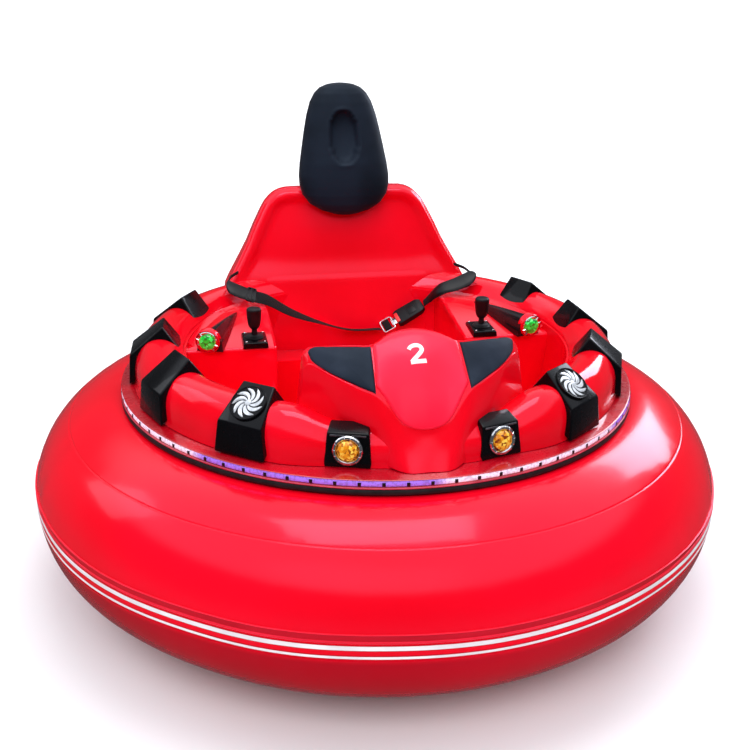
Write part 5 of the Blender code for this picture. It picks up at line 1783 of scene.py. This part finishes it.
for side, sign in SIDES:
    low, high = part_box("drive_tyre_" + side)
    half = (high.x - low.x) / 2
    middle = Vector(((low.x + high.x) / 2, 0, AXLE_HEIGHT))
    axle = Matrix.Translation(middle) @ Matrix.Rotation(sign * pi / 2, 4, "Y")
    wheel = "drive_wheel_" + side
    tyre = turned([(0.0626, -half), (0.0860, -half), (0.0925, -half + 0.0030), (0.0960, -half + 0.0090),
                   (0.0966, -0.0060), (0.0945, -0.0035), (0.0945, 0.0035), (0.0966, 0.0060),
                   (0.0960, half - 0.0090), (0.0925, half - 0.0030), (0.0860, half), (0.0626, half),
                   (0.0626, -half)], 72)
    settle("tyre_" + side, moved(tyre, axle), tread_rubber, wheel, ("drive_tyre_" + side,), 45)
    for row, place in enumerate((-1, 1)):
        rows = (place * 0.0068, place * (half - 0.0065))
        lug = hull([(x, y + place * x * 0.6, z) for x in (-0.0060, 0.0) for y in (-0.0062, 0.0062)
                    for z in rows], 0.0010, 1)
        set_round("tread_%s_%d" % (side, row), lug, TREAD_BLOCKS, 0.0998, tread_rubber, wheel,
                  start=row * pi / TREAD_BLOCKS, matrix=axle, sharp=30)
    set_round("hub_bolts_" + side, bolt_head(0.0052, 0.0060), HUB_BOLTS, 0.0410, plated, wheel,
              matrix=axle @ Matrix.Translation((0, 0, 0.0100)), sharp=25)
    cap = turned([(0, -0.001), (0.0150, -0.001), (0.0150, 0.0040), (0.0120, 0.0066), (0, 0.0074)], 32)
    settle("hub_cap_" + side, moved(cap, axle @ Matrix.Translation((0, 0, half + 0.0044))), plated,
           sharp=30)
    rib = brick((-0.0010, 0.0030), (-0.0009, 0.0009), (-0.190, -0.100), 0.0006, 1)
    set_round("motor_ribs_" + side, rib, MOTOR_RIBS, 0.0440, frame_coat, matrix=axle,
              sharp=30)
    set_round("motor_bolts_" + side, bolt_head(0.0040, 0.0040), 4, 0.0330, plated,
              matrix=axle @ Matrix.Translation((0, 0, -0.205)) @ Matrix.Rotation(pi, 4, "X"),
              start=pi / 4, sharp=25)
print("drive wheels:", TREAD_BLOCKS * 2, "tread blocks each")

# %% Casters, frame bolts, battery and bracket
FRAME_UNDER = 0.1736
FOOT_Y, FOOT_TOP = 0.630, 1.0107

for end, sign in (("front", -1), ("rear", 1)):
    low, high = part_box("caster_wheel_" + end)
    middle, half = (low + high) / 2, (high.x - low.x) / 2
    axle = Matrix.Translation(middle) @ Matrix.Rotation(pi / 2, 4, "Y")
    roller = turned([(0.0300, -half), (0.0430, -half), (0.0478, -half + 0.0030), (0.0496, -half + 0.0090),
                     (0.0499, 0), (0.0496, half - 0.0090), (0.0478, half - 0.0030), (0.0430, half),
                     (0.0300, half), (0.0300, -half)], 56)
    settle("roller_tread_" + end, moved(roller, axle), tread_rubber, "roller_" + end,
           ("caster_wheel_" + end,), 45)
    core = turned([(0.0068, -half), (0.0120, -half), (0.0135, -half + 0.0050), (0.0250, -half + 0.0060),
                   (0.0270, -half), (0.0302, -half), (0.0302, half), (0.0270, half),
                   (0.0250, half - 0.0060), (0.0135, half - 0.0050), (0.0120, half), (0.0068, half),
                   (0.0068, -half)], 48)
    settle("roller_core_" + end, moved(core, axle), case_plastic, "roller_" + end, sharp=35)
    for row, place in enumerate((-1, 1)):
        spot = axle @ Matrix.Rotation((1 - place) * pi / 2, 4, "X") @ Matrix.Translation((0, 0, 0.0230))
        settle("fork_nut_%s_%d" % (end, row), moved(bolt_head(0.0075, 0.0055), spot), plated,
               "caster_" + end, sharp=25)
    spot = Matrix.Translation((0, sign * 0.300, FRAME_UNDER - 0.0070)) @ Matrix.Rotation(pi, 4, "X")
    set_round("plate_bolts_" + end, bolt_head(0.0050, 0.0045), 4, 0.0545, plated, matrix=spot,
              start=radians(39), sharp=25)

low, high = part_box("battery_pack")
STRAP_AIR, STRAP_THICK, STRAP_HALF = 0.0015, 0.0024, 0.0200
front, back, foot, top = low.y - STRAP_AIR, high.y + STRAP_AIR, low.z + 0.001, high.z + STRAP_AIR
outer = [(front, foot), (front, top), (back, top), (back, foot)]
inner = [(front + STRAP_THICK, foot), (front + STRAP_THICK, top - STRAP_THICK),
         (back - STRAP_THICK, top - STRAP_THICK), (back - STRAP_THICK, foot)]
loops = [[(x, y, z) for y, z in outer + inner[::-1]] for x in (-STRAP_HALF, STRAP_HALF)]
settle("battery_strap", loft(loops), webbing, sharp=30)
for row, x in enumerate((-0.110, 0.110)):
    post = turned([(0, 0), (0.0100, 0), (0.0090, 0.0080), (0.0070, 0.0090), (0, 0.0090)], 28,
                  (x, (low.y + high.y) / 2, high.z - 0.0004))
    settle("battery_post_%d" % row, post, plated, sharp=35)

set_round("bracket_bolts", bolt_head(0.0045, 0.0040), 4, 0.0260, plated, sharp=25, start=pi / 4,
          matrix=Matrix.Translation((0, FOOT_Y, FOOT_TOP)))
print("underside is dressed")

# %% Floor, sizes and finish
floor_paper = Finish("floor_white", Roughness=0.9, Emission_Color=(1.0, 1.0, 1.0, 1.0))
floor_paper.tones((0.93, 0.93, 0.93), (0.97, 0.97, 0.97), 0.6)
run_back = floor_paper.nodes.new("ShaderNodeSeparateXYZ")
floor_paper.links.new(floor_paper.place, run_back.inputs["Vector"])
lift = floor_paper.between(floor_paper.math("DIVIDE", run_back.outputs["Y"], 5.0), 0.04, 0.40)
floor_paper.give("Emission Strength", lift)
SWEEP_START, SWEEP = 3.6, 2.4
FLOOR_RUN = [(-9.0, 0.0), (-3.0, 0.0), (SWEEP_START, 0.0)]
FLOOR_RUN += [(SWEEP_START + SWEEP * sin(a), SWEEP - SWEEP * cos(a))
              for a in map(radians, range(10, 91, 10))]
FLOOR_RUN += [(SWEEP_START + SWEEP, 7.0)]
bm = bmesh.new()
strips = [[bm.verts.new((x, y, z)) for y, z in FLOOR_RUN] for x in (-10.0, 10.0)]
for i in range(len(FLOOR_RUN) - 1):
    bm.faces.new((strips[0][i], strips[1][i], strips[1][i + 1], strips[0][i + 1]))
floor_mesh = bpy.data.meshes.new("floor")
bm.to_mesh(floor_mesh)
bm.free()
floor_mesh.materials.append(floor_paper.material)
floor_mesh.shade_smooth()
floor = bpy.data.objects.new("floor", floor_mesh)
bpy.context.collection.objects.link(floor)
floor.visible_glossy = False
